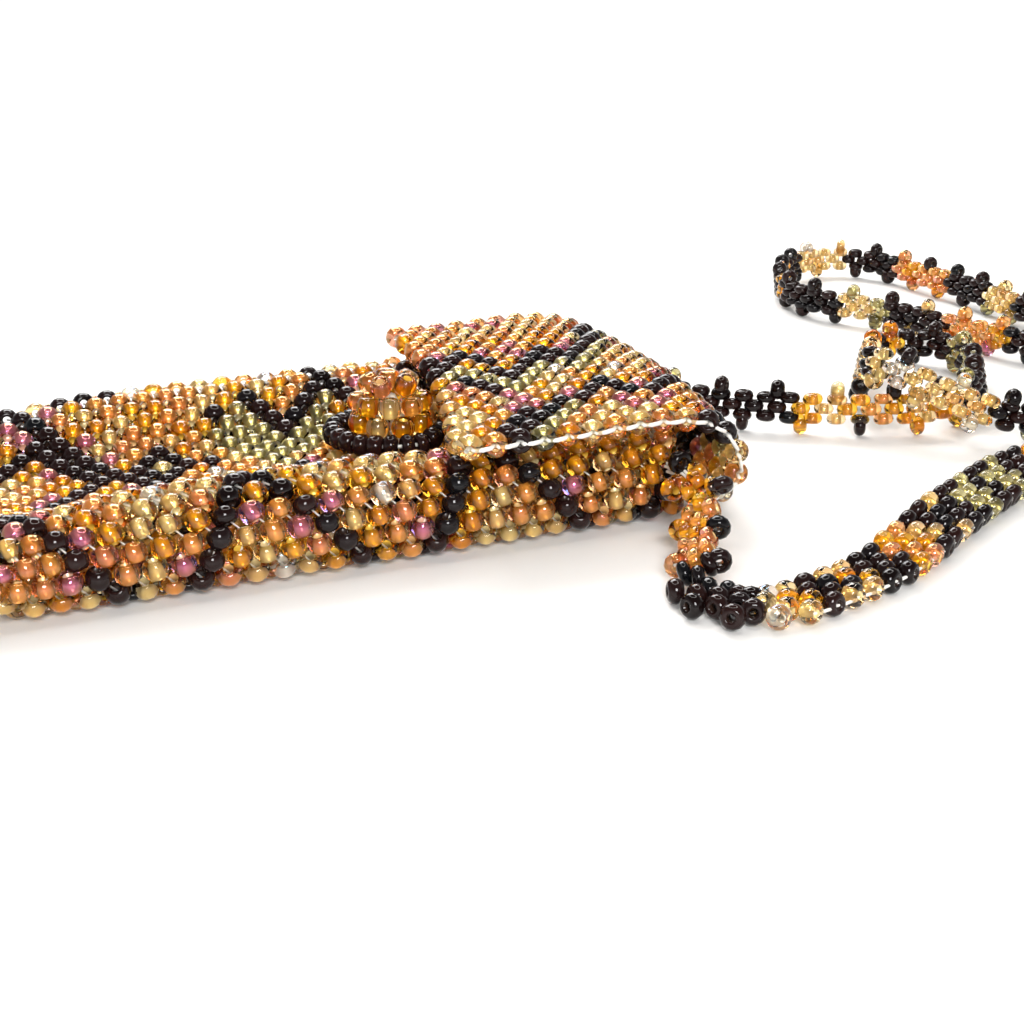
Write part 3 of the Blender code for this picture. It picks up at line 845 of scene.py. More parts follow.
FLAP_CHART = Chart(
    lines=(
        (Bead.ROSE, (((20, 4), (12, 4)), ((19, 3), (11, 3)), ((33, 15), (30, 18)),
                     ((31, 21), (17, 21)), ((32, 20), (18, 20)), ((24, 16), (28, 12)),
                     ((30, 0),), ((20, 0),), ((16, 0),))),
        (Bead.PLUM, (((28, 6), (26, 4), (23, 5)), ((25, 15), (26, 14)), ((25, 13),),
                     ((18, 2), (16, 2)), ((26, 20), (24, 20)), ((29, 21),), ((12, 2), (11, 1)),
                     ((15, 3),), ((19, 3),))),
        (Bead.AMBER, (((22, 14), (21, 15)), ((22, 16), (20, 16)), ((15, 1), (14, 2)),
                      ((30, 2),), ((33, 9),))),
        (Bead.OLIVE, (
            ((31, 11), (28, 8), (27, 7), (26, 8), (23, 11), (22, 10), (21, 9), (18, 12), (17, 13),
             (17, 15), (16, 16), (14, 18), (12, 20)),
            ((30, 10), (28, 8)), ((32, 10), (30, 8)),
            ((26, 0), (23, 3)), ((9, 1), (9, 3)), ((8, 2), (8, 4)),
        )),
        (Bead.JET, (
            ((33, 11), (30, 14), (29, 13), (27, 9), (22, 12), (21, 11), (17, 15), (18, 16),
             (17, 17), (15, 19), (13, 21)),
            ((33, 13), (31, 13)), ((28, 12), (28, 10)), ((25, 11), (24, 12), (23, 13)),
            ((31, 9), (29, 7)),
            ((22, 4), (20, 6), (18, 4), (16, 4), (15, 5), (12, 8), (9, 5)),
            ((29, 1), (28, 2), (27, 1), (26, 2), (24, 4)), ((28, 0), (27, 3)),
            ((8, 6), (9, 5), (9, 3), (10, 2), (10, 0)), ((11, 1), (12, 0)),
            ((7, 9), (1, 15), (0, 14)), ((3, 3), (7, 7)),
        )),
    ),
    fills=(
        (1, ((0.70, Bead.STRAW), (0.84, Bead.CLEAR), (1.0, Bead.ROSE))),
        (14, ((0.66, Bead.STRAW), (0.84, Bead.AMBER), (0.94, Bead.ROSE), (1.0, Bead.CLEAR))),
        (21, ((0.56, Bead.STRAW), (0.74, Bead.AMBER), (1.0, Bead.ROSE))),
    ),
)


class PouchBeadwork:
    """The tubular pouch: 52 columns of beads round the front, the walls and the back."""

    columns = 52
    lean_stops = ((0, 0.0), (5, -2.0), (12, -2.2), (20, 0.0), (27, 2.6), (30, 3.0), (36, 2.2),
                  (44, 0.8), (52, 0.0))

    def __init__(self, sizes: PouchSizes, stitch: StitchSizes) -> None:
        """Remember the pouch's sizes and the spacing of its beads."""
        self.sizes, self.stitch = sizes, stitch
        self.half_rows = 2 * round(sizes.length / stitch.row_pitch) - 1

    def section_controls(self, s: float) -> Array:
        """The pouch's section at a place along it.

        Args:
            s: Distance from the bottom end.

        Returns:
            Rows of (across, height) from the near bottom corner up, over and back.
        """
        p = self.sizes
        share = s / p.length
        start = ease(p.near_ridge - p.bottom_ridge_drop, p.near_ridge, share / 0.25)
        near = ease(start, p.covered_ridge, (share - 0.5) / 0.2)
        far = ease(p.far_ridge - p.bottom_ridge_drop, p.far_ridge, share / 0.3)
        sag = ease(p.sag_height, p.mouth_sag_height, (share - 0.78) / 0.22)
        w, rest, c, bulge = p.width, p.lift, p.corner, p.wall_bulge
        return np.array([
            (0.7 * c, rest), (-0.5 * bulge, rest + 0.6 * c), (-bulge, 0.5 * near),
            (-0.5 * bulge, near - 1.6 * c), (0.5 * c, near - 0.5 * c), (2.0 * c, near),
            (0.15 * w, sag + 0.78 * (near - sag)),
            (0.26 * w, sag + 0.28 * (near - sag)), (0.38 * w, sag + 0.04 * (near - sag)),
            (0.50 * w, sag), (0.62 * w, sag + 0.04 * (far - sag)),
            (0.74 * w, sag + 0.28 * (far - sag)), (0.85 * w, sag + 0.78 * (far - sag)),
            (w - 1.4 * c, far), (w + 0.1 * c, far - c), (w + bulge, 0.5 * far),
            (w + 0.5 * bulge, rest + 0.6 * c), (w - 0.7 * c, rest), (0.75 * w, rest),
            (0.50 * w, rest), (0.25 * w, rest),
        ])

    def ring(self, s: float) -> Array:
        """Bead middles round the pouch.

        Args:
            s: Distance from the bottom end; less than 0 is on the closed end.

        Returns:
            Rows of (across, height), one a column.
        """
        p = self.sizes
        ring = even_points(self.section_controls(max(s, 0.0)), self.columns, closed=True)
        squeeze = ease(1.0, p.seam_squeeze, -s / p.end_depth)
        ring[:, 1] = p.seam_height + (ring[:, 1] - p.seam_height) * squeeze
        return ring

    def lean(self, column: float, s: float) -> float:
        """How far the cloth is pulled along the bag, out of square.

        Args:
            column: The bead column.
            s: Distance from the bottom end.

        Returns:
            The shift along the bag.
        """
        stops = np.array(self.lean_stops)
        pull = float(np.interp(column, stops[:, 0], stops[:, 1])) * MILLIMETRE
        edge = min(s + self.sizes.end_depth, self.sizes.length - s) / self.sizes.lean_fade
        return pull * ease(0.0, 1.0, edge)

    def spot(self, k: int, i: int) -> Array:
        """The middle of the bead at a half row and column.

        Args:
            k: Half row; less than 0 is on the closed end.
            i: Column.

        Returns:
            The place, from the part's origin.
        """
        p = self.sizes
        s = k * p.length / self.half_rows if k >= 0 else k * p.end_depth / 2.0
        s += self.lean(i % self.columns, s)
        y, z = self.ring(s)[i % self.columns]
        return np.array([s, y, z]) - ORIGIN

    def build(self) -> None:
        """Make the pouch's beads and the thread that runs through them."""
        tray = BeadTray("pouch_beads", BeadShape(), region_slots("beadwork"), SEED + 1)
        grid = {(k, i): self.spot(k, i)
                for k in range(-2, self.half_rows + 1) for i in range(self.columns)}
        cells = [(k, i) for k, i in grid if (k + i) % 2 == 0]
        for (k, i), kind in zip(cells, POUCH_CHART.kinds(cells, self.columns)):
            left, right = grid[k, (i - 1) % self.columns], grid[k, (i + 1) % self.columns]
            tray.add(grid[k, i], right - left, kind)
        tray.thin_out(self.stitch.least_apart)
        tray.make(["pouch"])
        thread = ThreadWork("pouch_thread", radius=self.stitch.inner_thread_radius, sides=4)
        for k in range(0, self.half_rows, 2):
            thread.lay([grid[k + (i % 2), i] for i in range(self.columns)], closed=True)
        thread.make()


class FlapBeadwork:
    """The flat flap, from the back of the mouth round the fold and over the front."""

    def __init__(self, sizes: FlapSizes, pouch: PouchSizes, stitch: StitchSizes) -> None:
        """Work out the flap's grid.

        Args:
            sizes: The flap's sizes.
            pouch: The pouch that it closes.
            stitch: The spacing of the beads.
        """
        self.sizes, self.pouch, self.stitch = sizes, pouch, stitch
        near = even_points(self.profiles()[0], 100)
        length = np.linalg.norm(np.diff(near, axis=0), axis=1).sum()
        self.columns = 2 * round(pouch.width / stitch.column_pitch / 2.0)
        self.half_rows = 2 * round(length / stitch.row_pitch) - 1

    def profiles(self) -> tuple[Array, Array, Array]:
        """The flap's line along its near selvedge, its middle and its far selvedge.

        Returns:
            Three rows of points from the mouth's back to the free edge.
        """
        f, p, w = self.sizes, self.pouch, self.pouch.width
        rim = p.length + f.rim_gap
        low = STITCH.crown + f.table_gap
        side = self.stitch.column_pitch

        def line(y_rim: float, y_top: float, reach: float, height: float, cover: float) -> Array:
            """One line along the flap.

            Args:
                y_rim: How far across it starts, at the mouth's back.
                y_top: How far across it runs on the front.
                reach: How far the fold stands out past the mouth.
                height: How high the front part lies.
                cover: How far it covers the front, from the mouth.

            Returns:
                Its points, from the mouth's back round the fold to the free edge.
            """
            nose = p.length + reach
            return np.array([
                (rim, y_rim, low),
                (nose - 0.35 * (nose - rim), 0.6 * y_rim + 0.4 * y_top, low + f.fold_lift),
                (nose, 0.2 * y_rim + 0.8 * y_top, 0.36 * height),
                (nose - 0.04 * f.fold_depth, y_top, 0.62 * height),
                (nose - 0.20 * f.fold_depth, y_top, 0.86 * height),
                (nose - 0.50 * f.fold_depth, y_top, 0.99 * height),
                (nose - f.fold_depth, y_top, 1.02 * height),
                (p.length - 0.5 * cover, y_top, height),
                (p.length - cover, y_top, height),
            ])

        mid_reach = 0.25 * f.fold_reach_near + 0.75 * f.fold_reach_far
        mid_height = (f.height_near + f.height_far) / 2.0 + f.crown
        mid_cover = (f.cover_near + f.cover_far) / 2.0 - f.edge_bow
        return (
            line(side, -f.overhang, f.fold_reach_near, f.height_near, f.cover_near),
            line(w / 2.0, (w - f.overhang) / 2.0, mid_reach, mid_height, mid_cover),
            line(w - side, w, f.fold_reach_far, f.height_far, f.cover_far),
        )

    def sheet(self) -> Array:
        """Bead middles over the whole flap.

        Returns:
            Points by half row and column, from the part's origin.
        """
        near, mid, far = (even_points(p, self.half_rows + 1) for p in self.profiles())
        v = (np.arange(self.columns) / (self.columns - 1))[None, :, None]
        points = (near[:, None] * ((1 - v) * (1 - 2 * v)) + mid[:, None] * (4 * v * (1 - v))
                  + far[:, None] * (v * (2 * v - 1)))
        return points - ORIGIN

    def build(self) -> None:
        """Make the flap's beads, the thread through them and the thread along its edges."""
        sheet = self.sheet()
        rows, cols = sheet.shape[:2]
        tray = BeadTray("flap_beads", BeadShape(self.sizes.bead_diameter),
                        region_slots("flap_beadwork"), SEED + 2)
        cells = [(k, i) for k in range(rows) for i in range(cols) if (k + i) % 2 == 0]
        for (k, i), kind in zip(cells, FLAP_CHART.kinds(cells)):
            axis = sheet[k, min(i + 1, cols - 1)] - sheet[k, max(i - 1, 0)]
            tray.add(sheet[k, i], axis, kind)
        tray.make(["flap"])
        thread = ThreadWork("flap_thread", radius=self.stitch.inner_thread_radius, sides=4)
        for k in range(0, rows - 1, 2):
            thread.lay([sheet[k + (i % 2), i] for i in range(cols)])
        thread.make()
        self.build_selvedges(sheet, SELVEDGE)

    def build_selvedges(self, sheet: Array, z: SelvedgeSizes) -> None:
        """Make the thread that turns from row to row along both edges.

        Args:
            sheet: Bead middles by half row and column.
            z: How the thread lies at each edge bead.
        """
        rows, cols = sheet.shape[:2]
        edge = ThreadWork("flap_edge_thread", radius=z.radius)
        for column, way, inner in ((0, -1.0, 1), (cols - 1, 1.0, cols - 2)):
            drift = np.array([0.0, way * z.drift, 0.0])
            path: list[Array] = []
            for k in range(column % 2, rows, 2):
                bead = sheet[k, column]
                across = unit(bead - sheet[k, inner])
                along = unit(sheet[min(k + 2, rows - 1), column] - sheet[max(k - 2, 0), column])
                path += [bead + across * z.leaves_hole - along * z.hole_half_gap,
                         bead + across * z.deep - along * z.deep_half_gap,
                         bead + across * z.deep + along * z.deep_half_gap,
                         bead + across * z.leaves_hole + along * z.hole_half_gap]
                if k + 2 < rows:
                    halfway = (bead + sheet[k + 2, column]) / 2.0
                    path.append(halfway + across * z.between_beads + drift)
            edge.lay(path)
        edge.make(["flap_selvedge_thread"])


def region_slots(region: str) -> dict[Bead, str]:
    """The record's slot for each kind of bead in one part of the bag.

    Args:
        region: The slot of the beads that have no slot of their own.

    Returns:
        A slot name for each kind.
    """
    slots = dict.fromkeys(Bead, region)
    slots[Bead.JET] = "black_bead"
    slots[Bead.AMBER] = "amber_bead"
    return slots


class Button:
    """The domed button of amber beads, and the loop of black beads round its foot."""

    glass = {(1, 5): Bead.STRAW, (0, 5): Bead.STRAW, (1, 6): Bead.ROSE, (1, 3): Bead.ROSE,
             (2, 0): Bead.STRAW, (2, 2): Bead.ROSE, (2, 3): Bead.ROSE, (3, 0): Bead.ROSE}

    def __init__(self, sizes: ButtonSizes, pouch: PouchSizes, flap: FlapSizes) -> None:
        """Place the button on the pouch, and the loop under the flap's free edge.

        Args:
            sizes: The button's and loop's sizes.
            pouch: The pouch that it is sewn to.
            flap: The flap that the loop hangs from.
        """
        self.sizes, self.flap = sizes, flap
        self.centre = np.array([pouch.length - sizes.from_mouth, pouch.width / 2.0, 0.0])
        self.floor = pouch.sag_height + STITCH.crown
        self.under = self.floor + sizes.shank_height - sizes.shank_overlap

    def tiers(self) -> tuple[tuple[int, float, float, float, float], ...]:
        """The rings of beads from the foot up.

        Returns:
            Beads, radius, turn in beads, lean and height in beads, for each ring.
        """
        z = self.sizes
        wide = (z.bead_diameter + z.bead_clearance) / (2.0 * math.sin(math.pi / z.ring_beads))
        narrow = (z.bead_diameter + z.top_clearance) / (2.0 * math.sin(math.pi / z.top_beads))
        return (
            (z.ring_beads, wide, 0.0, 0.12, 0.5),
            (z.ring_beads, 0.97 * wide, 0.5, -0.10, 1.5),
            (z.top_beads, narrow, 0.1, 0.60, 2.5),
            (1, 0.0, 0.0, 0.0, 2.72),
        )

    def build(self) -> None:
        """Make the button's beads, the thread that sews them down, and the loop."""
        z = self.sizes
        tray = BeadTray("button_beads", BeadShape(z.bead_diameter, z.bead_length),
                        region_slots("amber_bead"), SEED + 3)
        for tier, (count, radius, turn, lean, height) in enumerate(self.tiers()):
            rise = self.under + (z.bead_length + z.tier_clearance) * height
            for k in range(count):
                out = polar(TAU * (k + turn) / count)
                tray.add(self.centre + out * radius + UP * rise - ORIGIN, UP + lean * out,
                         self.glass.get((tier, k), Bead.AMBER))
        tray.make([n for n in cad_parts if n.startswith("button_bead")])
        self.build_sewing()
        self.build_loop()

    def build_sewing(self) -> None:
        """Make the turns of thread that sew the beads to the front of the pouch."""
        z = self.sizes
        core = ThreadWork("button_core", radius=z.sewing_thread)
        stops = ((0.0006, self.floor - 0.0006), (0.0012, self.under + 0.001),
                 (0.0003, self.under + 0.0032))
        for k in range(z.sewing_turns):
            out = polar(TAU * k / z.sewing_turns)
            turn = [self.centre + out * radius + UP * height for radius, height in stops]
            core.lay(even_points(turn, 8) - ORIGIN)
        core.make(["button_thread_core"])

    def loop_route(self) -> list[Array]:
        """The loop's line.

        Returns:
            Points from the flap's edge round the button and back to the edge.
        """
        z, steps = self.sizes, 16
        lie = self.floor + STITCH.crown + z.loop_clearance
        hang = self.flap.height_near - STITCH.crown - z.loop_clearance / 2.0
        half = z.loop_opening / 2.0
        ring = []
        for k in range(steps + 1):
            lift = ease(0.0, z.loop_end_lift, (abs(2.0 * k / steps - 1.0) - 0.7) / 0.3)
            ring.append(self.centre + UP * (lie + lift) + z.loop_radius * polar(
                -half - (TAU - z.loop_opening) * k / steps))
        reach, tie = z.loop_radius + z.loop_clearance, 0.35 * z.loop_radius
        start, end = (self.centre + np.array([reach, side * tie, hang]) for side in (-1, 1))
        return [start, *ring, end]

    def build_loop(self) -> None:
        """Make the closing loop's beads and thread."""
        z, steps = self.sizes, 400
        route = even_points(self.loop_route(), steps) - ORIGIN
        length = np.linalg.norm(np.diff(route, axis=0), axis=1).sum()
        tray = BeadTray("loop_beads", BeadShape(z.loop_bead_diameter, z.loop_bead_length),
                        region_slots("black_bead"), SEED + 4)
        count = int((length - 2.0 * z.loop_lead) / z.loop_bead_pitch)
        first = (length - z.loop_bead_pitch * (count - 1)) / 2.0
        last = steps - 1
        for k in range(count):
            at = int(round((first + z.loop_bead_pitch * k) / length * last))
            tray.add(route[at], route[min(at + 3, last)] - route[max(at - 3, 0)], Bead.JET)
        tray.make([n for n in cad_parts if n.startswith("loop_bead")])
        thread = ThreadWork("loop_cord")
        thread.lay(route[::8])
        thread.make(["loop_thread"])


@dataclass
class BottomSeam:
    """The stitch that draws the bottom end shut."""

    sizes: SeamSizes

    def build(self) -> None:
        """Make the stitch's thread along its CAD piece."""
        z = self.sizes
        lowest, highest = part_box("bottom_seam_thread")
        work = ThreadWork("bottom_seam_stitches", radius=z.radius)
        x, middle = (lowest.x + highest.x) / 2.0, (lowest.z + highest.z) / 2.0
        ys = np.linspace(lowest.y + z.margin, highest.y - z.margin, z.points)
        work.lay([(x, y, middle + z.swing * math.cos(0.5 * math.pi * k))
                  for k, y in enumerate(ys)])
        work.make(["bottom_seam_thread"])


class NeckStrap:
    """The narrow ribbon of beads, from one side of the mouth to the other.

    Most of it is four beads wide. Some runs are a chain of three with picot beads beside it.
    """

    roll_stops = ((0.0, -70.0), (0.014, -60.0), (0.018, -94.0), (0.036, -90.0), (0.050, -74.0),
                  (0.078, -72.0), (0.105, -8.0), (0.230, 0.0), (0.370, 4.0), (0.480, 8.0),
                  (0.505, 6.0), (0.555, 10.0), (0.600, 10.0), (0.626, 20.0))
    chain_runs = ((0.0, 0.0165), (0.238, 0.385), (0.484, 0.640))
    colours = (
        (0.000, "AJ AJ RA AJ RP RR JJ JJ JJ JJ SC AS JJ JS AS JJ JJ RA AR SJ JJ JS JJ OJ OO JJ OJ"
                " OO JJ JJ RA AR JJ SJ SS JJ AJ AA RR JJ JJ SS SJ OO JJ AJ RA RR JJ JJ SS JO AJ"),
        (0.240, "JO OJ JJ JJ OS SO SO JJ JJ JO JJ RA AR RJ AR RA AJ JJ JJ JA JJ SS SC SJ SS JJ JA"
                " AJ JJ JA JJ AJ JA JJ JJ JJ JA JJ SO OS SJ JJ JS JJ JJ RA RP AR JJ JC JJ"),
        (0.363, "SS JJ AJ AA RR JJ JJ SS JO AJ"),
        (0.486, "JJ JJ JO JJ SC SC SJ SS CJ SS JS SC SJ JJ SJ JJ AA AJ AA JA AA AR JA AJ JJ JJ JO"
                " OJ JO OS OJ JJ JO JJ JJ JO JJ AS AJ SA AJ RA AJ SA AA JJ JA JJ JJ JJ JO SS SC"
                " SJ CS SS JJ AJ AA RR JJ SS SJ OO"),
    )

    def __init__(self, sizes: StrapSizes) -> None:
        """Remember the strap's sizes."""
        self.sizes = sizes

    def route(self) -> Array:
        """The ribbon's middle line on the table.

        The ring, between the points at 0.1240 and 0.0955 along, is laid wider than in CAD.

        Returns:
            Rows of (along the pouch, across it, height).
        """
        z = self.sizes
        lie, over = z.lie, z.lie + z.width + z.crossing_gap
        near, far = np.array(z.near_exit), np.array(z.far_exit)
        lead = np.array([0.0, z.width / 2.0, 0.0])
        middle = np.array([
            (0.0556, -0.0080, 0.0040), (0.0541, -0.0102, 0.0029), (0.0521, -0.0132, lie),
            (0.0498, -0.0170, lie), (0.0485, -0.0206, lie), (0.0497, -0.0236, lie),
            (0.0536, -0.0245, lie), (0.0633, -0.0217, lie), (0.0698, -0.0185, lie),
            (0.0770, -0.0143, lie), (0.0856, -0.0094, lie), (0.0927, -0.0059, lie),
            (0.0995, -0.0046, lie), (0.1070, -0.0064, lie), (0.1160, -0.0110, lie),
            (0.1260, -0.0180, lie), (0.1380, -0.0270, lie), (0.1530, -0.0310, lie),
            (0.1675, -0.0260, lie), (0.1770, -0.0130, lie), (0.1790, 0.0025, lie),
            (0.1740, 0.0160, lie), (0.1640, 0.0255, lie), (0.1525, 0.0300, lie),
            (0.1438, 0.0345, lie), (0.1396, 0.0405, lie), (0.1384, 0.0465, lie),
            (0.1395, 0.0530, lie), (0.1409, 0.0620, lie), (0.1412, 0.0706, lie),
            (0.1413, 0.0800, lie), (0.1385, 0.0865, lie), (0.1330, 0.0875, lie),
            (0.1265, 0.0830, lie), (0.1205, 0.0760, lie), (0.1173, 0.0685, lie),
            (0.1177, 0.0622, lie), (0.1202, 0.0565, lie), (0.1218, 0.0495, lie),
            (0.1234, 0.0410, lie), (0.1252, 0.0314, lie), (0.1260, 0.0280, lie),
            (0.1305, 0.0218, lie), (0.1400, 0.0180, lie), (0.1520, 0.0160, lie),
            (0.1620, 0.0100, lie), (0.1655, -0.0010, lie), (0.1600, -0.0120, lie),
            (0.1480, -0.0155, lie), (0.1355, -0.0110, lie), (0.1240, -0.0035, lie),
            (0.1148, 0.0008, lie), (0.1078, 0.0034, lie), (0.1018, 0.0058, lie),
            (0.0962, 0.0078, 0.0044), (0.0918, 0.0106, 0.0066), (0.0903, 0.0140, over),
            (0.0918, 0.0180, 0.0062), (0.0950, 0.0226, 0.0034), (0.0992, 0.0280, lie),
            (0.1040, 0.0338, lie), (0.1085, 0.0377, lie), (0.1128, 0.0378, lie),
            (0.1152, 0.0343, lie), (0.1140, 0.0285, lie), (0.1102, 0.0222, lie),
            (0.1054, 0.0168, lie), (0.1003, 0.0137, lie),
            (0.0955, 0.0126, lie), (0.0908, 0.0140, lie), (0.0864, 0.0164, lie),
            (0.0814, 0.0201, lie), (0.0775, 0.0237, lie), (0.0743, 0.0295, lie),
            (0.0708, 0.0375, lie), (0.0668, 0.0440, lie), (0.0622, 0.0470, 0.0031),
            (0.0581, 0.0460, 0.0044),
        ])
        return np.concatenate([[near, near - lead], middle, [far + lead, far]])

    def build(self) -> None:
        z = self.sizes
        line = even_points(self.route(), 4000, samples=8000)
        run = np.concatenate([[0.0], np.cumsum(np.linalg.norm(np.diff(line, axis=0), axis=1))])
        length = float(run[-1])
        ahead = unit(np.gradient(line, axis=0))
        across = self.settle(line, run, ahead)
        tray = BeadTray("neck_strap_beads", BeadShape(
            z.bead_diameter, z.bead_length, z.bead_bore, z.bead_segments),
            region_slots("strap_beadwork"), SEED + 5)
        half = z.row_pitch / 2.0
        kinds = self.row_kinds(int(length / z.row_pitch) + 2)
        edges: dict[int, list[tuple[Array, Array]]] = {-1: [], 1: []}
        for k in range(int(length / half)):
            at = min(int(np.searchsorted(run, (k + 0.5) * half)), len(line) - 1)
            core, rim = kinds[k // 2]
            chain = any(a < run[at] < b for a, b in self.chain_runs)
            columns = z.chain_columns if chain else z.ribbon_columns
            gap = z.chain_gap if chain else z.ribbon_gap
            for column in columns[k % 2::2]:
                spot = line[at] + across[at] * column * gap
                outer = not chain and abs(column) > 1.0
                tray.add(spot - ORIGIN, across[at], rim if outer else core,
                         z.chain_bead if chain else z.ribbon_bead)
                if outer and run[at] > z.edge_thread_from:
                    side = int(math.copysign(1, column))
                    edges[side].append((spot - ORIGIN, across[at] * side))
            if chain and k % 5 in (0, 2):
                side = 1 if k % 5 else -1
                spot = line[at] + across[at] * side * z.picot_reach
                tray.add(spot - ORIGIN, ahead[at], rim if k % 4 else core, z.picot_bead)
                edges[side].append((spot - ORIGIN, across[at] * 0.0))
        for end, side in ((line[0], -1.0), (line[-1], 1.0)):
            for lift, kind in ((z.wall_bead_rise, Bead.JET), (-z.wall_bead_rise, Bead.AMBER)):
                spot = end + np.array([0.0, -side * z.wall_bead_gap, lift])
                tray.add(spot - ORIGIN, np.array([0.0, 1.0, 0.0]), kind, z.picot_bead)
        pieces = tray.make(["neck_strap"], {
            "warm": (Bead.STRAW, Bead.AMBER, Bead.ROSE, Bead.PLUM, Bead.OLIVE, Bead.CLEAR),
            "jet": (Bead.JET,)})
        stitches = self.edge_thread(edges).make()
        main_piece = pieces.pop("warm")
        self.lash("strap_stitch_near", np.array(z.near_exit), -1.0)
        self.lash("strap_stitch_far", np.array(z.far_exit), 1.0)

    def settle(self, line: Array, run: Array, ahead: Array) -> Array:
        """Roll the ribbon over where it lies flat, and let it down onto the table.

        Args:
            line: The ribbon's middle line, whose heights are changed.
            run: How far along the strap each point is.
            ahead: The way the strap runs at each point.

        Returns:
            The direction across the ribbon at each point.
        """
        z = self.sizes
        level = unit(np.cross(ahead, UP))
        upright = np.cross(level, ahead)
        stops = np.array(self.roll_stops)
        roll = np.radians(np.interp(run, stops[:, 0], stops[:, 1])
                          + z.twist * np.sin(run / z.twist_length + 1.3))
        half_height = z.half_standing * np.cos(roll) + z.half_lying * np.abs(np.sin(roll))
        ends = np.minimum(run, run[-1] - run)
        line[:, 2] += (half_height - z.lie) * np.clip((ends - z.settle_from) / z.settle_over,
                                                      0.0, 1.0)
        return upright * np.cos(roll)[:, None] + level * np.sin(roll)[:, None]

    def edge_thread(self, edges: dict[int, list[tuple[Array, Array]]]) -> ThreadWork:
        """Lay the thread that shows from hole to hole along each edge.

        Args:
            edges: For each side, the edge beads' middles and the way their holes face.

        Returns:
            The thread, ready to be made.
        """
        z = self.sizes
        work = ThreadWork("neck_strap_thread", radius=z.edge_thread, sides=5)
        for beads in edges.values():
            for (a, out_a), (b, out_b) in zip(beads, beads[1:]):
                if np.linalg.norm(b - a) < z.edge_thread_reach:
                    work.lay([a + out_a * z.hole_depth,
                              a + out_a * z.hole_face + (b - a) * 0.2,
                              b + out_b * z.hole_face - (b - a) * 0.2,
                              b + out_b * z.hole_depth])
        return work

    def row_kinds(self, rows: int) -> list[tuple[Bead, Bead]]:
        """Middle and edge beads of each row, in short blocks of colour.

        Args:
            rows: How many rows the strap has.

        Returns:
            A (middle, edge) pair for each row.
        """
        letters = {kind.value[0].upper(): kind for kind in Bead}
        pairs: list[tuple[Bead, Bead]] = []
        for row in range(rows):
            at = row * self.sizes.row_pitch
            start, text = [stretch for stretch in self.colours if stretch[0] <= at + 1e-9][-1]
            codes = text.split()
            code = codes[int((at - start) / self.sizes.row_pitch) % len(codes)]
            pairs.append((letters[code[0]], letters[code[1]]))
        return pairs

    def lash(self, name: str, end: Array, side: float) -> None:
        """Sew the strap's end to the mouth with a few turns of thread.

        Args:
            name: The CAD node that the stitches stand for.
            end: Where the strap ends.
            side: -1 at the near wall, 1 at the far wall.
        """
        z = self.sizes
        work = ThreadWork(f"{name}_thread", radius=z.edge_thread)
        for k in range(z.lash_turns):
            rise = z.lash_step * (k - (z.lash_turns - 1) / 2.0)
            wander = z.lash_wander
            inner = end + np.array([wander * math.sin(2.1 * k), -side * z.lash_inner, rise])
            outer = end + np.array([wander * math.cos(1.7 * k), side * z.lash_outer, 0.5 * rise])
            slack = np.array([z.lash_slack, 0.0, z.lash_lift * k])
            middle = (inner + outer) / 2.0 + slack
            work.lay(even_points([inner, middle, outer], 7) - ORIGIN)
        work.make([name])


@dataclass(frozen=True)
class Softbox:
    """One soft rectangular lamp, in metres from the part's origin."""

    name: str
    at: tuple[float, float, float]
    aim: tuple[float, float, float]
    size: tuple[float, float]
    watts: float

    def hang(self) -> None:
        """Hang the lamp, turned to what it aims at."""
        data = bpy.data.lights.new(self.name, "AREA")
        data.shape = "RECTANGLE"
        data.size, data.size_y = self.size
        data.energy = self.watts
        lamp = bpy.data.objects.new(self.name, data)
        bpy.context.scene.collection.objects.link(lamp)
        lamp.location = self.at
        lamp.rotation_mode = "QUATERNION"
        lamp.rotation_quaternion = (Vector(self.aim) - Vector(self.at)).to_track_quat("-Z", "Y")


@dataclass(frozen=True)
class RingLamp:
    """A ring-shaped lamp that faces the bag, in metres from the part's origin."""

    at: tuple[float, float, float] = (0.055, 0.105, 0.42)
    radius: float = 0.200
    width: float = 0.026
    strength: float = 17.0
    colour: Colour = (1.0, 0.97, 0.93)
    steps: int = 48

    def hang(self) -> None:
        """Make the glowing band and hang it."""
        angle = TAU * np.arange(self.steps) / self.steps
        rims = [np.stack([np.cos(angle) * r, np.sin(angle) * r, 0 * angle], axis=1)
                for r in (self.radius - self.width / 2.0, self.radius + self.width / 2.0)]
        k = np.arange(self.steps)
        after = (k + 1) % self.steps
        quads = np.stack([k, after, self.steps + after, self.steps + k], axis=1)
        mesh = quad_mesh("ring_lamp", np.concatenate(rims), quads)
        mat = bpy.data.materials.new("ring_lamp_glow")
        mat.use_nodes = True
        nodes, links = mat.node_tree.nodes, mat.node_tree.links
        nodes.remove(nodes["Principled BSDF"])
        glow = nodes.new("ShaderNodeEmission")
        glow.inputs["Color"].default_value = (*self.colour, 1.0)
        glow.inputs["Strength"].default_value = self.strength
        links.new(glow.outputs["Emission"], nodes["Material Output"].inputs["Surface"])
        mesh.materials.append(mat)
        lamp = bpy.data.objects.new("ring_lamp", mesh)
        bpy.context.scene.collection.objects.link(lamp)
        lamp.location = self.at
        lamp.rotation_mode = "QUATERNION"
        lamp.rotation_quaternion = (-Vector(self.at)).to_track_quat("-Z", "Y")
        lamp.visible_camera = False


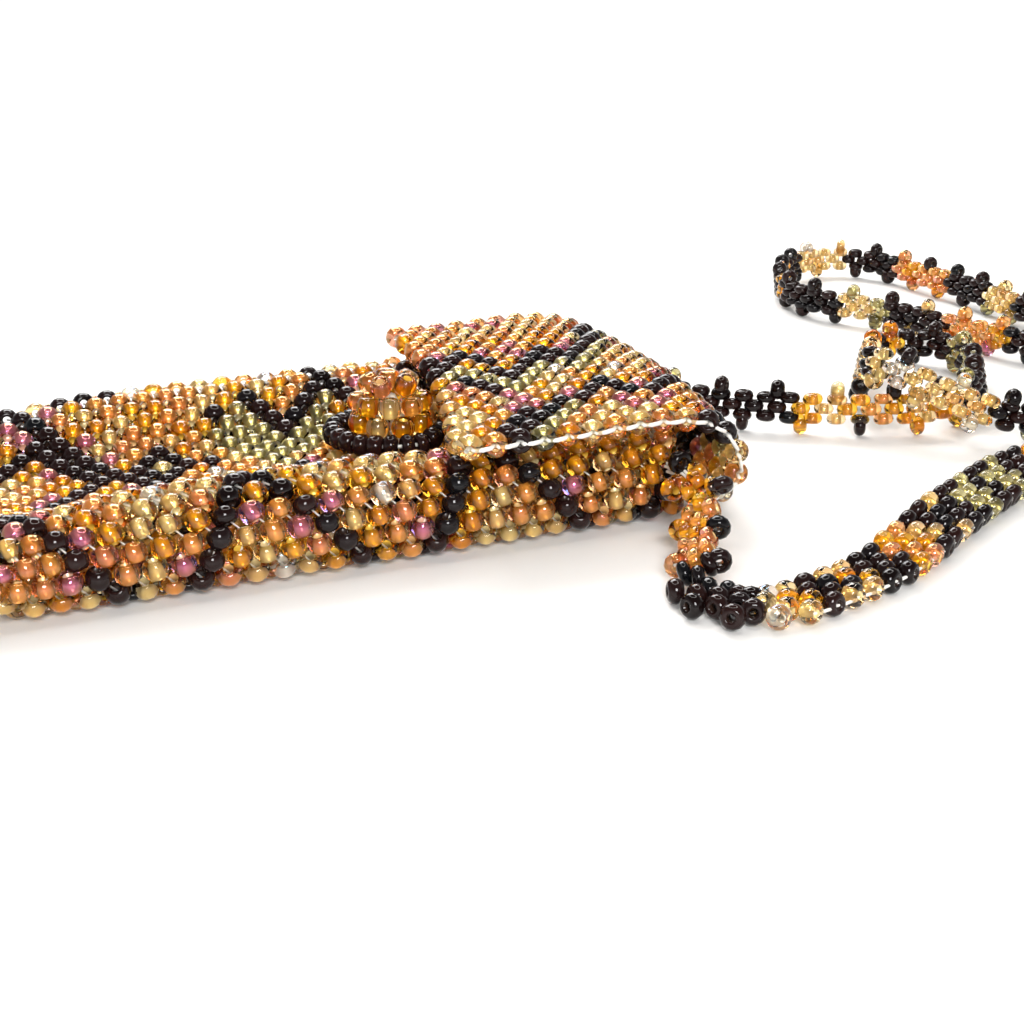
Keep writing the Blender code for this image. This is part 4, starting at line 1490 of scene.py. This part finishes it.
@dataclass(frozen=True)
class Studio:
    """Floor, soft lights and the camera at the photograph's view, in metres."""

    camera_at: tuple[float, float, float] = (-0.0222, -0.1310, 0.0515)
    heading: tuple[float, float] = (0.4384, 0.8988)
    pitch: float = math.radians(18.4)
    lens: float = 63.28
    floor_half: float = 3.0
    floor_colour: Colour = (0.90, 0.89, 0.87)
    fade_from: float = 0.16
    fade_to: float = 0.55
    fade_least: float = 0.07
    horizon: float = 0.10
    ceiling_from: float = 0.55
    ceiling: Colour = (0.16, 0.15, 0.15)
    soft_strength: float = 0.58
    softboxes: tuple[Softbox, ...] = (
        Softbox("back_softbox", (0.10, 0.40, 0.36), (0.02, 0.0, 0.0), (0.34, 0.26), 2.8),
        Softbox("front_softbox", (-0.10, -0.34, 0.20), (0.0, 0.0, 0.005), (0.12, 0.12), 1.4),
    )

    def build(self) -> None:
        """Make everything that isn't the bag."""
        self.camera()
        self.floor()
        self.world()
        RingLamp().hang()
        for softbox in self.softboxes:
            softbox.hang()

    def camera(self) -> None:
        """Set the camera."""
        data = bpy.data.cameras.new("camera")
        data.lens, data.sensor_width = self.lens, 36.0
        data.clip_start, data.clip_end = 0.005, 10.0
        cam = bpy.data.objects.new("camera", data)
        bpy.context.scene.collection.objects.link(cam)
        cam.location = Vector(np.array(self.camera_at) - ORIGIN)
        ahead = Vector((self.heading[0] * math.cos(self.pitch),
                        self.heading[1] * math.cos(self.pitch), -math.sin(self.pitch)))
        right = Vector((self.heading[1], -self.heading[0], 0.0))
        up = right.cross(ahead)
        cam.rotation_mode = "QUATERNION"
        cam.rotation_quaternion = Matrix((right, up, -ahead)).transposed().to_quaternion()
        bpy.context.scene.camera = cam

    def floor(self) -> None:
        """A pale table that fades to white."""
        size = self.floor_half
        mesh = bpy.data.meshes.new("floor")
        mesh.from_pydata([(-size, -size, 0), (size, -size, 0), (size, size, 0), (-size, size, 0)],
                         [], [(0, 1, 2, 3)])
        mat, shader = principled("table_top")
        nodes, links = mat.node_tree.nodes, mat.node_tree.links
        shader.inputs["Roughness"].default_value = 0.6
        shader.inputs["Specular IOR Level"].default_value = 0.2
        place = nodes.new("ShaderNodeTexCoord")
        reach = nodes.new("ShaderNodeVectorMath")
        reach.operation = "LENGTH"
        far = nodes.new("ShaderNodeMapRange")
        far.inputs["From Min"].default_value = self.fade_from
        far.inputs["From Max"].default_value = self.fade_to
        far.inputs["To Min"].default_value = self.fade_least
        fade = nodes.new("ShaderNodeMix")
        fade.data_type = "RGBA"
        fade.inputs["A"].default_value = (*self.floor_colour, 1.0)
        fade.inputs["B"].default_value = (0.0, 0.0, 0.0, 1.0)
        links.new(place.outputs["Object"], reach.inputs[0])
        links.new(reach.outputs["Value"], far.inputs["Value"])
        links.new(far.outputs["Result"], fade.inputs["Factor"])
        links.new(fade.outputs["Result"], shader.inputs["Base Color"])
        shine = nodes.new("ShaderNodeEmission")
        shine.inputs["Color"].default_value = (1.0, 1.0, 1.0, 1.0)
        scale = nodes.new("ShaderNodeMath")
        scale.operation = "MULTIPLY"
        add = nodes.new("ShaderNodeAddShader")
        links.new(self.seen_directly(mat), scale.inputs[0])
        links.new(far.outputs["Result"], scale.inputs[1])
        links.new(scale.outputs["Value"], shine.inputs["Strength"])
        links.new(shader.outputs["BSDF"], add.inputs[0])
        links.new(shine.outputs["Emission"], add.inputs[1])
        links.new(add.outputs["Shader"], nodes["Material Output"].inputs["Surface"])
        mesh.materials.append(mat)
        floor = bpy.data.objects.new("floor", mesh)
        bpy.context.scene.collection.objects.link(floor)

    def seen_directly(self, owner: bpy.types.Material | bpy.types.World) -> bpy.types.NodeSocket:
        """Whether a ray comes from the camera, a mirror or through glass.

        Args:
            owner: The material or world whose nodes are added to.

        Returns:
            A socket that is 1 for such rays and 0 for the rest.
        """
        nodes, links = owner.node_tree.nodes, owner.node_tree.links
        path = nodes.new("ShaderNodeLightPath")
        value = path.outputs["Is Camera Ray"]
        for ray in ("Is Glossy Ray", "Is Transmission Ray"):
            most = nodes.new("ShaderNodeMath")
            most.operation = "MAXIMUM"
            links.new(value, most.inputs[0])
            links.new(path.outputs[ray], most.inputs[1])
            value = most.outputs["Value"]
        return value

    def world(self) -> None:
        """White backdrop, and a soft even light."""
        world = bpy.data.worlds.new("studio")
        world.use_nodes = True
        bpy.context.scene.world = world
        nodes, links = world.node_tree.nodes, world.node_tree.links
        place = nodes.new("ShaderNodeTexCoord")
        split = nodes.new("ShaderNodeSeparateXYZ")
        ceiling = nodes.new("ShaderNodeValToRGB")
        low, high = ceiling.color_ramp.elements
        low.position, low.color = self.horizon, (1.0, 1.0, 1.0, 1.0)
        high.position, high.color = self.ceiling_from, (*self.ceiling, 1.0)
        links.new(place.outputs["Generated"], split.inputs[0])
        links.new(split.outputs["Z"], ceiling.inputs["Fac"])
        soft = nodes["Background"]
        soft.inputs["Strength"].default_value = self.soft_strength
        white = nodes.new("ShaderNodeBackground")
        white.inputs["Strength"].default_value = 1.0
        for light in (soft, white):
            links.new(ceiling.outputs["Color"], light.inputs["Color"])
        mix = nodes.new("ShaderNodeMixShader")
        links.new(self.seen_directly(world), mix.inputs[0])
        links.new(soft.outputs["Background"], mix.inputs[1])
        links.new(white.outputs["Background"], mix.inputs[2])
        links.new(mix.outputs["Shader"], nodes["World Output"].inputs["Surface"])
        bpy.context.scene.view_settings.view_transform = "Standard"


def main() -> None:
    """Build the whole scene."""
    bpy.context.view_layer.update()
    PouchBeadwork(POUCH, STITCH).build()
    FlapBeadwork(FLAP, POUCH, STITCH).build()
    Button(BUTTON, POUCH, FLAP).build()
    BottomSeam(SEAM).build()
    NeckStrap(STRAP).build()
    Studio().build()


if __name__ == "__main__":
    main()
